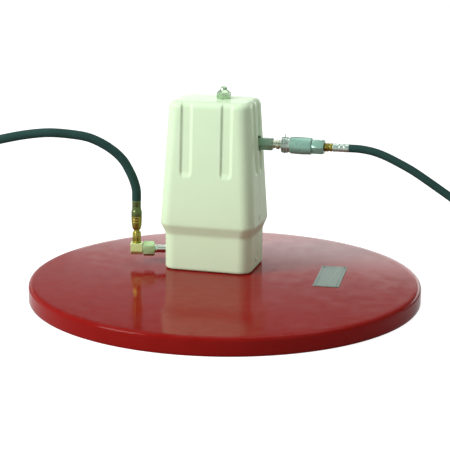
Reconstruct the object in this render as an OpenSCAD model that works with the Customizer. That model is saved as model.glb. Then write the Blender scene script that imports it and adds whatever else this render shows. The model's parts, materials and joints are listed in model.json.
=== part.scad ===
// Air-operated grease pump on a drum cover, in millimetres.
// The origin is the centre of the cover, level with the lower edge of its skirt. +Z is up.
// The front of the shroud faces -Y, and the air line leaves it along +X.

/* [Drum cover] */
// Outside diameter of the cover's skirt
cover_d = 622; // [600:1:640]
// Height of the cover's top above the lower edge of the skirt
cover_h = 28; // [26:1:34]
// Thickness of the cover's steel sheet
cover_t = 1.5; // [1:0.1:2]
// Outer radius of the rounded shoulder between top and skirt
shoulder_r = 7; // [5:0.5:12]
// Height of the folded hem at the skirt's lower edge
hem_h = 6; // [4:0.5:8]
// Width of the rubber ring that seats on the drum's rim
seal_w = 18; // [12:1:20]
// Thickness of that rubber ring
seal_t = 5; // [3:0.5:7]
// Place of the pump's axis to the right of the cover's centre
pump_x = -25; // [-40:1:0]
// Place of the pump's axis behind the cover's centre
pump_y = 78; // [60:1:90]

/* [Blank plate] */
// Length of the plate on the cover
plate_l = 121; // [100:1:130]
// Width of the plate
plate_w = 41; // [36:1:46]
// Thickness of the plate
plate_t = 0.8; // [0.6:0.1:1.2]
// Distance of the plate's centre to the right of the cover's centre
plate_x = 161; // [150:1:170]
// Distance of the plate's centre behind the cover's centre
plate_y = 51; // [40:1:60]
// Turn of the plate about the vertical
plate_turn = 4; // [0:1:8]

/* [Shroud] */
// Width across the foot of the shroud
foot_w = 145; // [142:1:150]
// Depth across the foot of the shroud
foot_d = 107; // [105:1:112]
// Width at the widest level, above the ledge
wide_w = 157; // [154:1:162]
// Depth at the widest level
wide_d = 121; // [119:1:126]
// Width at the top shoulder
top_w = 135; // [132:1:140]
// Depth at the top shoulder
top_d = 100; // [99:1:106]
// Radius of the upright corners
corner_r = 20; // [16:1:22]
// Height of the foot up to the ledge
foot_h = 58; // [54:1:62]
// Height of the sloping ledge
ledge_h = 17; // [14:1:20]
// Wall of the moulded shroud
shell_t = 3; // [2.4:0.1:3.2]
// Gap between the shroud and the cover
shroud_gap = 1; // [0.5:0.1:2]
// Rounding in height of the top shoulder
crown_h = 10; // [8:1:12]
// Width of a front or rear flute
flute_w = 21; // [18:1:23]
// Width of a side flute
side_flute_w = 19; // [16:1:20]
// Depth of the flutes
flute_depth = 3.5; // [2.5:0.1:3.6]
// Distance from the middle of the front to a flute's middle
flute_x = 33; // [31:1:34]
// Distance from the middle of a side to a flute's middle
side_flute_y = 14.5; // [14:0.5:15]
// Height of the flutes' lower ends above the ledge
flute_start = 78; // [70:1:88]
// Width of the inner tongue along the parting line
tongue_w = 14; // [12:1:16]
// Thickness of the tongue
tongue_t = 2; // [1.5:0.1:2.2]
// Distance from the pump's axis back to the middle of the shroud, to the left
offset_x = 12; // [10:1:14]
// The same distance, to the front
offset_y = 8; // [6:1:9]

/* [Outlet body] */
// Diameter of the flange that is screwed to the cover
flange_d = 82; // [80:1:84]
// Thickness of the flange
flange_t = 8; // [7:0.5:10]
// Thickness of the flange gasket
gasket_t = 2; // [1:0.5:3]
// Diameter of the upright hub
hub_d = 50; // [48:1:54]
// Height of the hub's top above the underside of the flange
hub_h = 50; // [48:1:54]
// Diameter of the spigot that passes through the cover
spigot_d = 44; // [42:1:46]
// Length of the spigot below the flange
spigot_h = 26; // [24:1:30]
// Diameter of the outlet boss
boss_d = 28; // [24:1:30]
// Length of the outlet boss from the pump's axis
boss_l = 44; // [42:1:48]
// Height of the outlet above the cover
outlet_h = 25; // [24:1:27]
// Angle of the outlet from the left towards the front
outlet_turn = 15; // [5:1:25]
// Diameter of the circle of flange screws
screw_pcd = 66; // [65:1:67]
// Number of flange screws
screw_n = 4; // [3:1:6]
// Diameter of the grease gallery
gallery_d = 24; // [22:1:26]

/* [Pump tube] */
// Outside diameter of the pump tube
tube_d = 34; // [32:1:36]
// Wall of the pump tube
tube_t = 3; // [2.5:0.1:3.5]
// Reach of the tube's foot below the lower edge of the skirt
reach = 850; // [700:5:900]
// Outside diameter of the foot pieces
foot_valve_d = 42; // [41:1:46]
// Length of the inlet check's housing
foot_valve_l = 48; // [44:1:56]
// Length of the primer tube
primer_l = 100; // [98:1:120]
// Lift of the inlet check
check_lift = 6; // [4:0.5:7]

/* [Plunger] */
// Stroke of the air piston, the rods and the plunger
stroke = 76; // [70:1:77]
// Diameter of the piston rod
piston_rod_d = 14; // [13:0.5:15]
// Diameter of the long connecting rod
long_rod_d = 12; // [11:0.5:13]
// Diameter of the priming rod
priming_rod_d = 8; // [7.5:0.5:9]
// Length of the plunger
plunger_l = 60; // [58:1:66]
// Diameter of the ball check in the plunger
ball_d = 10; // [9:0.5:11]
// Lift of that ball
ball_lift = 5; // [4:0.5:6]

/* [Air motor] */
// Bore of the air cylinder
bore_d = 63.5; // [60:0.5:64]
// Wall of the air cylinder
cylinder_t = 3.25; // [3:0.25:3.5]
// Length of the air cylinder
cylinder_l = 111; // [110:1:114]
// Side of the square end plates
end_w = 70; // [69:1:71]
// Thickness of the lower end plate
base_t = 10; // [9:1:12]
// Thickness of the upper end plate, which carries the air port
head_t = 24; // [23:1:26]
// Height of the open ring between hub and lower end plate
lantern_h = 18; // [17:1:20]
// Distance from the axis to a tie bolt, along each side
tie_x = 28.5; // [28:0.5:29]
// Travel of the air valve's spool
spool_travel = 8; // [6:0.5:8]
// Side of the air valve's square body
valve_w = 44; // [42:1:46]
// Height of the air valve's body
valve_h = 39; // [38:1:40]

/* [Top nut] */
// Width across the flats of the nut on top
cap_nut_af = 21; // [19:1:24]
// Height of its hexagon
cap_nut_h = 13; // [11:1:14]
// Height of its crown
cap_crown_h = 7; // [5:1:8]

/* [Air line] */
// Height of the air port above the cover
inlet_h = 203; // [202:0.5:204]
// Distance of the air port behind the pump's axis
inlet_y = 10; // [8:1:12]
// Diameter of the hole in the shroud
inlet_hole_d = 25; // [23:1:27]
// Outside diameter of the air hose
air_hose_d = 13; // [12:0.5:13]
// Length of the air hose between its fittings
air_hose_l = 1800; // [1700:10:2000]
// Diameter of the coupler's barrel
coupler_d = 28; // [26:1:30]
// Diameter of the coupler's sleeve
sleeve_d = 26; // [25:1:28]
// Travel of the coupler's sleeve
sleeve_travel = 3.5; // [2.5:0.5:3.5]

/* [Grease line] */
// Outside diameter of the grease hose
grease_hose_d = 15; // [14:0.5:15]
// Length of the grease hose between its fittings
grease_hose_l = 2130; // [2050:10:2300]
// Width across the flats of the swivel nut
swivel_af = 22; // [20:1:24]
// Side of the elbow's square block
elbow_w = 19.6; // [19:0.1:21]
// Distance of the elbow from the pump's axis
elbow_x = 141.5; // [138:0.5:146]

/* [Hidden] */
// Clearances and overruns
eps = 1;            // overrun of a cut past a face
run_c = 0.05;       // running clearance on a radius
loose_c = 0.3;      // clearance between loose neighbours
bolt_c = 0.3;       // clearance of a bolt's hole on the radius
fine = 64;          // facets of a drawn circle
coarse = 32;        // facets of a small drawn circle
hex_n = 6;          // sides of a hexagon

// Levels, from the cover upwards
cover_r = cover_d / 2;
flange_z = cover_h + gasket_t;
hub_z = flange_z + hub_h;
lantern_lap = 8;
plate_z = hub_z + lantern_h;
cyl_z = plate_z + base_t;
head_z = cyl_z + cylinder_l;
valve_z = head_z + head_t;
cap_z = valve_z + valve_h;
cap_t = 6;
shroud_z = cover_h + shroud_gap;
ledge_z = shroud_z + foot_h;
wide_z = ledge_z + ledge_h;
flute_z = wide_z + flute_start;
flute_run = 10;
boss_rise = 12;
roof_z = cap_z + cap_t + boss_rise;
top_z = roof_z + shell_t;
crown_z = top_z - crown_h;
outlet_z = cover_h + outlet_h;
inlet_z = cover_h + inlet_h;

// Small sizes of the cover's group
hem_t = 3;
seal_inset = 10;
cover_hole_c = 1;
plate_rivet_d = 4;
plate_rivet_h = 0.9;
plate_rivet_inset = 4;
plate_corner_r = 2;

// Small sizes of the fasteners
screw_d = 6;
screw_af = 10;
screw_head_h = 4;
screw_bite = 6;
tie_d = 6;
tie_af = 10;
tie_head_h = 5;
valve_screw_d = 4;
valve_screw_af = 7;
valve_screw_head_h = 3.5;
valve_screw_x = 17;
valve_screw_bite = 9;
stud_d = 10;
stud_bite = 10;
cap_nut_depth = 15;
cap_tip_r = 3.5;
cap_corner_h = 1.5;
cap_crown_from = 35;
side_screw_d = 3.5;
side_screw_head_d = 7;
side_screw_head_h = 2.2;
side_screw_y = 8;
side_screw_low = 16;
side_screw_high = 11;
spot_depth = 0.9;

// Small sizes of the pump
thread_d = 13.7;
tube_socket = 20;
tube_in_r = tube_d / 2 - tube_t;
packing_d = 30;
packing_h = 10;
packing_room = 18;
packing_nut_af = 32;
packing_hex_h = 6;
port_bore_d = 10;
port_thread_l = 16;
piston_rod_low = 88;
rod_joint_d = 8;
rod_joint_l = 10;
tube_lap = 8;
seat_t = 6;
seat_hole_d = 18;
check_d = 24;
check_t = 8;
foot_spigot_h = 8;
primer_in_r = 18;
window_w = 14;
window_h = 34;
window_n = 4;
disc_t = 5;
disc_hub_r = 7;
disc_hub_h = 5;
disc_gap = 0.6;
disc_rise = 4;
nose_r = 10;
nose_l = 23;
land_l = 9;
neck_r = 11;
plunger_run = 8;
plunger_floor = 14;
ball_seat_d = 8;
ball_room_c = 1.5;
port_r = 2;
port_rise = 0.6;

// Small sizes of the air motor
spigot_up = 5;
ring_h = 2;
ring_depth = 1.7;
ring_rise = 1.5;
seal_d = 22;
seal_h = 6;
bumper = 1;
piston_t = 14;
piston_groove_h = 7;
piston_groove_depth = 5;
piston_neck_d = 10;
piston_nut_af = 17;
piston_nut_h = 5;
nut_lip = 2;
nut_hole_d = 5;
trip_rod_d = 4;
trip_head_d = 6.4;
trip_head_h = 4;
trip_bore_d = 7;
trip_slack = 12;
trip_bore_l = 97;
spool_d = 16;
spool_l = 22;
spool_waist_d = 10;
spool_waist_l = 8;
spool_rise = 2;
exhaust_d = 8;
passage_d = 8;
passage_x = 12;
passage_y = 10;
end_corner_r = 8;
valve_corner_r = 4;
boss_top_d = 24;
pad_w = 86;
pad_depth = 66;
pad_h = 22;
pad_c = 0.5;
pad_bolt_r = 6.3;
lantern_wall = 5;
lantern_cavity_d = 42;
lantern_slot_w = 16;
lantern_slot_h = 8;

// Small sizes of the air line, as distances from the pump's axis
inlet_bite = 12;
adapter_hex_x = 57;
adapter_end_x = 80;
adapter_af = 19;
plug_thread_d = 13;
plug_thread_l = 14;
plug_collar_d = 15.8;
plug_collar_x = 86;
plug_collar_l = 5;
plug_neck_d = 11;
plug_nose_d = 14;
plug_nose_x = 96;
plug_nose_end = 112;
plug_groove_d = 13;
plug_groove_l = 3.6;
plug_bore_d = 7;
sleeve_x = 95;
sleeve_l = 10;
sleeve_tail_l = 6;
barrel_x = 109;
barrel_l = 35;
barrel_bulge = 0.7;
front_tube_d = 20;
spring_room_d = 24;
spring_room_l = 19;
coupler_hex_l = 20;
coupler_hex_af = 22;
coupler_bore_d = 14.2;
lock_ball_d = 3.5;
lock_ball_n = 4;
lock_ball_x = 101;
spring_wire_d = 1.2;
spring_turns = 5;
spring_rings = 16;
clip_wire_d = 1.2;
clip_tail_l = 4.5;
stem_bite = 10;
stem_hex_l = 8;
stem_hex_af = 13;
stem_ring_l = 6;
stem_bore_d = 6;
air_ferrule_l = 26;
air_ferrule_d = 13.4;
air_end_x = barrel_x + barrel_l + coupler_hex_l + stem_hex_l + stem_ring_l + air_ferrule_l;

// Small sizes of the grease line, as distances from the pump's axis
swivel_x = 112;
swivel_l = 18.5;
swivel_lip = 6.2;
swivel_thread_l = 9;
swivel_room_d = 17.6;
tail_collar_d = 17;
tail_collar_l = 3.2;
tail_d = 13;
tail_bore_d = 7;
elbow_chamfer = 1.2;
grease_stem_bite = 8;
grease_stem_d = 12.4;
grease_hex_af = 13.5;
grease_hex_h = 18.5;
grease_neck_h = 4.5;
grease_neck_d = 10;
grease_shell_h = 22;
grease_shell_d = 17.6;
grease_ferrule_h = 26;
grease_ferrule_d = 17.4;
grease_ferrule_top_d = 14.6;
grease_bead_h = 9;
hose_start_z = outlet_z + elbow_w / 2 + grease_hex_h + grease_neck_h + grease_shell_h
    + grease_ferrule_h;

// Hoses
coil_mid_share = 5.5;    // radius at the middle of a coil's turns, in hose diameters
coil_gap = 0.6;          // gap between neighbouring turns
tie_strap_t = 1.2;
tie_strap_w = 10;
tie_strap_c = 0.3;
end_hex_l = 14;
end_hex_af = 16;
end_thread_l = 14;
end_thread_d = 13.2;
end_ferrule_l = 26;
end_ferrule_grow = 1.2;
end_bore_d = 6;
stretch_sides = 10;
coil_sides = 6;
coil_rings = 24;

// Route of the grease hose: distance out along the outlet, distance behind it, height
grease_route = [
    [142, 0, 0], [142, 0, 15], [144, 0, 26], [148, 0, 38], [154, 0, 51], [162, 0, 65],
    [175, 0, 79], [195, 0, 93], [220, 0, 104], [250, 0, 109], [283, 0, 111], [317, 0, 108],
    [350, 0, 102], [388, 0, 93], [426, 0, 81], [465, 0, 66], [505, 0, 50], [547, 9, 32],
    [579, 31, 13], [600, 64, -6], [606, 102, -24], [598, 139, -42], [576, 170, -58],
    [544, 190, -72], [508, 196, -85], [472, 188, -95], [443, 167, -103], [424, 137, -108],
    [418, 106, -109], [418, 102, -109]];
// Route of the air hose: distance out along the air port, distance behind it, height
air_route = [
    [204, 0, 0], [217, 0, 0], [230, 0, -1], [246, 0, -4], [264, 0, -10], [284, 0, -19],
    [306, 0, -30], [329, 0, -44], [354, 0, -60], [380, 0, -77], [407, 0, -94],
    [434, 0, -111], [460, 0, -127], [494, 8, -144], [521, 27, -158], [539, 56, -170],
    [545, 88, -180], [538, 121, -188], [519, 147, -195], [492, 165, -200], [460, 170, -204],
    [429, 163, -207], [403, 145, -208], [387, 119, -209], [382, 93, -209], [382, 89, -209]];

// General shapes
function hex_r(af) = af / (2 * cos(180 / hex_n));
function arc(cx, cy, r, a0, a1, n) =
    [for (i = [0:n]) let (a = a0 + (a1 - a0) * i / n) [cx + r * cos(a), cy + r * sin(a)]];

module ring(r_out, r_in, h) {
    difference() {
        cylinder(r = r_out, h = h, $fn = fine);
        translate([0, 0, -eps]) cylinder(r = r_in, h = h + 2 * eps, $fn = fine);
    }
}
module hexagon(af, h) {
    cylinder(r = hex_r(af), h = h, $fn = hex_n);
}
module hex_ring(af, r_in, h) {
    difference() {
        hexagon(af, h);
        translate([0, 0, -eps]) cylinder(r = r_in, h = h + 2 * eps, $fn = fine);
    }
}
module slab(w, d, r, h) {
    union() {
        translate([-w / 2 + r, -d / 2, 0]) cube([w - 2 * r, d, h]);
        translate([-w / 2, -d / 2 + r, 0]) cube([w, d - 2 * r, h]);
        for (x = [-1, 1], y = [-1, 1])
            translate([x * (w / 2 - r), y * (d / 2 - r), 0]) cylinder(r = r, h = h, $fn = coarse);
    }
}
module at_pump(z = 0) {
    translate([pump_x, pump_y, z]) children();
}
module at_shroud(z = 0) {
    translate([pump_x - offset_x, pump_y - offset_y, z]) children();
}
// Turns children so that their +Z runs out along the grease outlet
module at_outlet(x) {
    at_pump(outlet_z) rotate([0, 0, 180 + outlet_turn]) translate([x, 0, 0])
        rotate([0, 90, 0]) children();
}
// Turns children so that their +Z runs out along the air line
module at_inlet(x) {
    at_pump(inlet_z) translate([x, inlet_y, 0]) rotate([0, 90, 0]) children();
}
module at_four(x) {
    for (sx = [-1, 1], sy = [-1, 1]) translate([sx * x, sy * x, 0]) children();
}

// Drum cover
cover_profile = concat(
    [[0, cover_h - cover_t]],
    arc(cover_r - shoulder_r, cover_h - shoulder_r, shoulder_r - cover_t, 90, 0, 8),
    [[cover_r - cover_t, hem_h], [cover_r - hem_t, hem_h], [cover_r - hem_t, 0], [cover_r, 0]],
    arc(cover_r - shoulder_r, cover_h - shoulder_r, shoulder_r, 0, 90, 8),
    [[0, cover_h]]);
module drum_cover() color("firebrick") {
    difference() {
        rotate_extrude($fn = 128) polygon(cover_profile);
        at_pump(cover_h - cover_t - eps) {
            cylinder(r = spigot_d / 2 + cover_hole_c, h = cover_t + 2 * eps, $fn = fine);
            flange_holes(cover_t + 2 * eps, screw_d / 2 + bolt_c);
        }
        plate_holes(cover_h - cover_t - eps, cover_t + 2 * eps);
    }
}
module cover_seal() color("dimgray") {
    r = cover_r - seal_inset;
    translate([0, 0, cover_h - cover_t - seal_t]) ring(r, r - seal_w, seal_t);
}
module plate_places() {
    translate([plate_x, plate_y, 0]) rotate([0, 0, plate_turn])
        for (x = [-1, 1], y = [-1, 1])
            translate([x * (plate_w / 2 - plate_rivet_inset), y * (plate_l / 2 - plate_rivet_inset), 0])
                children();
}
module plate_holes(z, h) {
    plate_places() translate([0, 0, z]) cylinder(r = plate_rivet_d / 4, h = h, $fn = coarse);
}
module name_plate() color("silver") {
    difference() {
        translate([plate_x, plate_y, cover_h]) rotate([0, 0, plate_turn])
            slab(plate_w, plate_l, plate_corner_r, plate_t);
        plate_holes(cover_h - eps, plate_t + 2 * eps);
    }
}
module plate_rivets() color("gainsboro") {
    plate_places() {
        translate([0, 0, cover_h + plate_t])
            cylinder(r1 = plate_rivet_d / 2, r2 = plate_rivet_d / 4, h = plate_rivet_h, $fn = coarse);
        translate([0, 0, cover_h - cover_t])
            cylinder(r = plate_rivet_d / 4, h = cover_t + plate_t, $fn = coarse);
    }
}

// Outlet body and its fixing to the cover
module flange_holes(h, r) {
    for (i = [0:screw_n - 1]) rotate([0, 0, 45 + 360 * i / screw_n])
        translate([screw_pcd / 2, 0, 0]) cylinder(r = r, h = h, $fn = coarse);
}
module flange_gasket() color("darkslategray") {
    at_pump(cover_h) difference() {
        ring(flange_d / 2, spigot_d / 2 + cover_hole_c, gasket_t);
        translate([0, 0, -eps]) flange_holes(gasket_t + 2 * eps, screw_d / 2 + bolt_c);
    }
}
module flange_screws() color("lightgray") {
    at_pump() for (i = [0:screw_n - 1]) rotate([0, 0, 45 + 360 * i / screw_n])
        translate([screw_pcd / 2, 0, 0]) {
            translate([0, 0, cover_h - cover_t - screw_head_h]) hexagon(screw_af, screw_head_h);
            translate([0, 0, cover_h - cover_t])
                cylinder(r = screw_d / 2, h = cover_t + gasket_t + screw_bite, $fn = coarse);
        }
}
module outlet_body() color("gray") {
    difference() {
        union() {
            at_pump(flange_z) cylinder(r = flange_d / 2, h = flange_t, $fn = fine);
            at_pump(flange_z) cylinder(r = hub_d / 2, h = hub_h, $fn = fine);
            at_pump(flange_z - spigot_h) cylinder(r = spigot_d / 2, h = spigot_h, $fn = fine);
            at_outlet(0) cylinder(r = boss_d / 2, h = boss_l, $fn = fine);
        }
        at_pump(flange_z - eps) flange_holes(screw_bite + eps, screw_d / 2);
        at_pump(flange_z - spigot_h - eps)
            cylinder(r = tube_d / 2, h = tube_socket + eps, $fn = fine);
        at_pump(flange_z - spigot_h) cylinder(r = gallery_d / 2, h = spigot_h + hub_h, $fn = fine);
        at_pump(hub_z - packing_room) cylinder(r = packing_d / 2, h = packing_room + eps, $fn = fine);
        at_outlet(0) cylinder(r = port_bore_d / 2, h = boss_l, $fn = coarse);
        at_outlet(boss_l - port_thread_l)
            cylinder(r = thread_d / 2, h = port_thread_l + eps, $fn = coarse);
    }
}
module rod_packing() color("saddlebrown") {
    at_pump(hub_z - packing_room) ring(packing_d / 2, piston_rod_d / 2 + run_c, packing_h);
}
module packing_nut() color("goldenrod") {
    difference() {
        union() {
            at_pump(hub_z - packing_room + packing_h)
                cylinder(r = packing_d / 2, h = packing_room - packing_h, $fn = fine);
            at_pump(hub_z) hexagon(packing_nut_af, packing_hex_h);
        }
        at_pump(hub_z - packing_room + packing_h - eps)
            cylinder(r = piston_rod_d / 2 + run_c, h = packing_room + packing_hex_h, $fn = fine);
    }
}

// Pump tube and foot
primer_z = -reach;
foot_z = primer_z + primer_l;
check_z = foot_z + seat_t;
tube_z = foot_z + foot_valve_l - tube_lap;
tube_top = flange_z - spigot_h + tube_socket;
module pump_tube() color("silver") {
    at_pump(tube_z) ring(tube_d / 2, tube_in_r, tube_top - tube_z);
}
module foot_valve_body() color("silver") {
    difference() {
        union() {
            at_pump(foot_z) cylinder(r = foot_valve_d / 2, h = foot_valve_l, $fn = fine);
            at_pump(foot_z - foot_spigot_h) cylinder(r = primer_in_r, h = foot_spigot_h, $fn = fine);
        }
        at_pump(tube_z) cylinder(r = tube_d / 2, h = tube_lap + eps, $fn = fine);
        at_pump(check_z) cylinder(r = check_d / 2 + eps, h = foot_valve_l - seat_t, $fn = fine);
        at_pump(foot_z - foot_spigot_h - eps)
            cylinder(r = seat_hole_d / 2, h = foot_spigot_h + seat_t + 2 * eps, $fn = fine);
    }
}
module inlet_check() color("goldenrod") {
    at_pump(check_z) ring(check_d / 2, priming_rod_d / 2 + run_c, check_t);
}
module primer_tube() color("silver") {
    difference() {
        at_pump(primer_z) ring(foot_valve_d / 2, primer_in_r, primer_l);
        for (i = [0:window_n - 1])
            at_pump(foot_z - foot_spigot_h - window_h) rotate([0, 0, 360 * i / window_n])
                translate([0, -window_w / 2, 0]) cube([foot_valve_d, window_w, window_h]);
    }
}

// Pump rods and plunger, at the bottom of the stroke
plunger_z = tube_z + plunger_run;
plunger_top = plunger_z + plunger_l;
seat_z = plunger_z + nose_l;
ball_room_r = ball_d / 2 + ball_room_c;
ball_low = sqrt(pow(ball_d / 2 + run_c, 2) - pow(ball_seat_d / 2, 2));
ball_z = seat_z + ball_low;
ball_room_h = ball_low + ball_d / 2 + ball_lift + ball_room_c;
piston_rod_z = -piston_rod_low + cover_h;
piston_z = cyl_z + spigot_up + bumper;
rod_top = piston_z + piston_t + piston_nut_h;
module piston_rod() color("lightsteelblue") {
    difference() {
        union() {
            at_pump(piston_rod_z)
                cylinder(r = piston_rod_d / 2, h = piston_z - piston_rod_z, $fn = fine);
            at_pump(piston_z) cylinder(r = piston_neck_d / 2, h = rod_top - piston_z, $fn = fine);
        }
        at_pump(rod_top - trip_bore_l)
            cylinder(r = trip_bore_d / 2, h = trip_bore_l + eps, $fn = coarse);
        at_pump(piston_rod_z - eps) cylinder(r = rod_joint_d / 2, h = rod_joint_l + eps, $fn = coarse);
    }
}
module connecting_rod() color("lightsteelblue") {
    at_pump(plunger_top)
        cylinder(r = long_rod_d / 2, h = piston_rod_z - plunger_top, $fn = fine);
    at_pump(plunger_top - rod_joint_l)
        cylinder(r = rod_joint_d / 2, h = piston_rod_z - plunger_top + 2 * rod_joint_l, $fn = coarse);
}
module plunger() color("slategray") {
    difference() {
        union() {
            at_pump(plunger_z) cylinder(r = nose_r, h = nose_l, $fn = fine);
            at_pump(plunger_z + nose_l) cylinder(r = tube_in_r - run_c, h = land_l, $fn = fine);
            at_pump(plunger_z + nose_l + land_l)
                cylinder(r = neck_r, h = plunger_l - nose_l - land_l, $fn = fine);
        }
        at_pump(seat_z) cylinder(r = ball_room_r, h = ball_room_h, $fn = fine);
        at_pump(plunger_z + plunger_floor)
            cylinder(r = ball_seat_d / 2, h = seat_z - plunger_z - plunger_floor + eps, $fn = coarse);
        at_pump(plunger_z + plunger_floor + port_r + port_rise)
            for (a = [0, 90]) rotate([0, 0, a]) rotate([90, 0, 0])
                cylinder(r = port_r, h = 2 * tube_d, center = true, $fn = coarse);
        at_pump(seat_z + ball_room_h - port_r - port_rise)
            for (a = [0, 90]) rotate([0, 0, a]) rotate([90, 0, 0])
                cylinder(r = port_r, h = 2 * tube_d, center = true, $fn = coarse);
        at_pump(plunger_top - rod_joint_l)
            cylinder(r = rod_joint_d / 2, h = rod_joint_l + eps, $fn = coarse);
        at_pump(plunger_z - eps)
            cylinder(r = priming_rod_d * 3 / 8, h = rod_joint_l + eps, $fn = coarse);
    }
}
module plunger_ball() color("gainsboro") {
    at_pump(ball_z) sphere(r = ball_d / 2, $fn = coarse);
}
disc_z = primer_z + disc_rise;
module priming_rod() color("lightsteelblue") {
    at_pump(disc_z) cylinder(r = priming_rod_d / 2, h = plunger_z - disc_z, $fn = coarse);
    at_pump(plunger_z) cylinder(r = priming_rod_d * 3 / 8, h = rod_joint_l, $fn = coarse);
}
module priming_disc() color("slategray") {
    difference() {
        union() {
            at_pump(disc_z) cylinder(r = primer_in_r - disc_gap, h = disc_t, $fn = fine);
            at_pump(disc_z) cylinder(r = disc_hub_r, h = disc_t + disc_hub_h, $fn = fine);
        }
        at_pump(disc_z - eps)
            cylinder(r = priming_rod_d / 2, h = disc_t + disc_hub_h + 2 * eps, $fn = coarse);
    }
}

// Air motor
bore_r = bore_d / 2;
module spigot_ring(z, over) {
    translate([0, 0, z]) ring(bore_r - run_c + over, bore_r - run_c - ring_depth, ring_h);
}
module motor_base() color("darkgray") {
    difference() {
        union() {
            at_pump(hub_z - lantern_lap)
                cylinder(r = hub_d / 2 + lantern_wall, h = lantern_lap + lantern_h, $fn = fine);
            at_pump(plate_z) slab(end_w, end_w, end_corner_r, base_t);
            at_pump(cyl_z) cylinder(r = bore_r - run_c, h = spigot_up, $fn = fine);
        }
        at_pump(hub_z - lantern_lap - eps) cylinder(r = hub_d / 2, h = lantern_lap + eps, $fn = fine);
        at_pump(hub_z - eps) cylinder(r = lantern_cavity_d / 2, h = lantern_h + eps, $fn = fine);
        at_pump(hub_z + packing_hex_h) translate([-flange_d / 2, -lantern_slot_w / 2, 0])
            cube([flange_d, lantern_slot_w, lantern_slot_h]);
        at_pump(plate_z - eps)
            cylinder(r = piston_rod_d / 2 + run_c, h = base_t + spigot_up + 2 * eps, $fn = fine);
        at_pump(cyl_z + spigot_up - seal_h) cylinder(r = seal_d / 2, h = seal_h + eps, $fn = fine);
        at_pump(cyl_z) spigot_ring(ring_rise, eps);
        at_pump(plate_z - eps) at_four(tie_x) cylinder(r = tie_d / 2, h = base_t + 2 * eps, $fn = coarse);
    }
}
module rod_seal() color("dimgray") {
    at_pump(cyl_z + spigot_up - seal_h) ring(seal_d / 2, piston_rod_d / 2 + run_c, seal_h);
}
module air_cylinder() color("gainsboro") {
    at_pump(cyl_z) ring(bore_r + cylinder_t, bore_r, cylinder_l);
}
module cylinder_rings() color("dimgray") {
    at_pump(cyl_z) spigot_ring(ring_rise, 0);
    at_pump(head_z - spigot_up) spigot_ring(spigot_up - ring_rise - ring_h, 0);
}
module motor_head() color("darkgray") {
    difference() {
        union() {
            at_pump(head_z) slab(end_w, end_w, end_corner_r, head_t);
            at_pump(head_z - spigot_up) cylinder(r = bore_r - run_c, h = spigot_up, $fn = fine);
        }
        at_pump(head_z - spigot_up) spigot_ring(spigot_up - ring_rise - ring_h, eps);
        at_pump(head_z - spigot_up - eps)
            cylinder(r = trip_rod_d / 2 + run_c, h = head_t + spigot_up + 2 * eps, $fn = coarse);
        at_inlet(end_w / 2 - inlet_bite) cylinder(r = thread_d / 2, h = inlet_bite + eps, $fn = coarse);
        at_inlet(passage_x) cylinder(r = passage_d / 2, h = end_w / 2 - passage_x, $fn = coarse);
        at_pump(inlet_z) translate([passage_x + passage_d / 2, inlet_y, 0])
            cylinder(r = passage_d / 2, h = head_t, $fn = coarse);
        at_pump(head_z - eps) at_four(tie_x)
            cylinder(r = tie_d / 2 + bolt_c, h = head_t + 2 * eps, $fn = coarse);
        at_pump(valve_z - valve_screw_bite) at_four(valve_screw_x)
            cylinder(r = valve_screw_d / 2, h = valve_screw_bite + eps, $fn = coarse);
    }
}
module tie_bolts() color("lightgray") {
    at_pump() at_four(tie_x) {
        translate([0, 0, valve_z]) hexagon(tie_af, tie_head_h);
        translate([0, 0, plate_z]) cylinder(r = tie_d / 2, h = valve_z - plate_z, $fn = coarse);
    }
}
module valve_body() color("darkgray") {
    difference() {
        at_pump(valve_z) slab(valve_w, valve_w, valve_corner_r, valve_h);
        at_pump(valve_z - eps) cylinder(r = spool_d / 2 + run_c, h = valve_h + 2 * eps, $fn = fine);
        at_pump(valve_z - eps) translate([passage_x + passage_d / 2, inlet_y, 0])
            cylinder(r = passage_d / 4, h = valve_h / 2, $fn = coarse);
        at_pump(valve_z + valve_h / 2) rotate([90, 0, 0])
            cylinder(r = exhaust_d / 2, h = valve_w, center = true, $fn = coarse);
        at_pump(valve_z - eps) at_four(valve_screw_x)
            cylinder(r = valve_screw_d / 2 + bolt_c, h = valve_h + 2 * eps, $fn = coarse);
    }
}
module valve_cap() color("darkgray") {
    difference() {
        union() {
            at_pump(cap_z) slab(valve_w, valve_w, valve_corner_r, cap_t);
            at_pump(cap_z + cap_t) cylinder(r = boss_top_d / 2, h = boss_rise, $fn = fine);
        }
        at_pump(roof_z - stud_bite) cylinder(r = stud_d / 2, h = stud_bite + eps, $fn = coarse);
        at_pump(cap_z - eps) at_four(valve_screw_x)
            cylinder(r = valve_screw_d / 2 + bolt_c, h = cap_t + 2 * eps, $fn = coarse);
    }
}
module valve_screws() color("lightgray") {
    at_pump() at_four(valve_screw_x) {
        translate([0, 0, cap_z + cap_t]) hexagon(valve_screw_af, valve_screw_head_h);
        translate([0, 0, valve_z - valve_screw_bite])
            cylinder(r = valve_screw_d / 2, h = cap_z + cap_t - valve_z + valve_screw_bite, $fn = coarse);
    }
}
trip_top = rod_top - trip_slack;
spool_z = valve_z + spool_rise;
module valve_spool() color("goldenrod") {
    difference() {
        at_pump(spool_z) cylinder(r = spool_d / 2, h = spool_l, $fn = fine);
        at_pump(spool_z + (spool_l - spool_waist_l) / 2)
            ring(spool_d / 2 + eps, spool_waist_d / 2, spool_waist_l);
    }
    at_pump(trip_top) cylinder(r = trip_rod_d / 2, h = spool_z - trip_top, $fn = coarse);
    at_pump(trip_top - trip_head_h) cylinder(r = trip_head_d / 2, h = trip_head_h, $fn = coarse);
}
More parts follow.
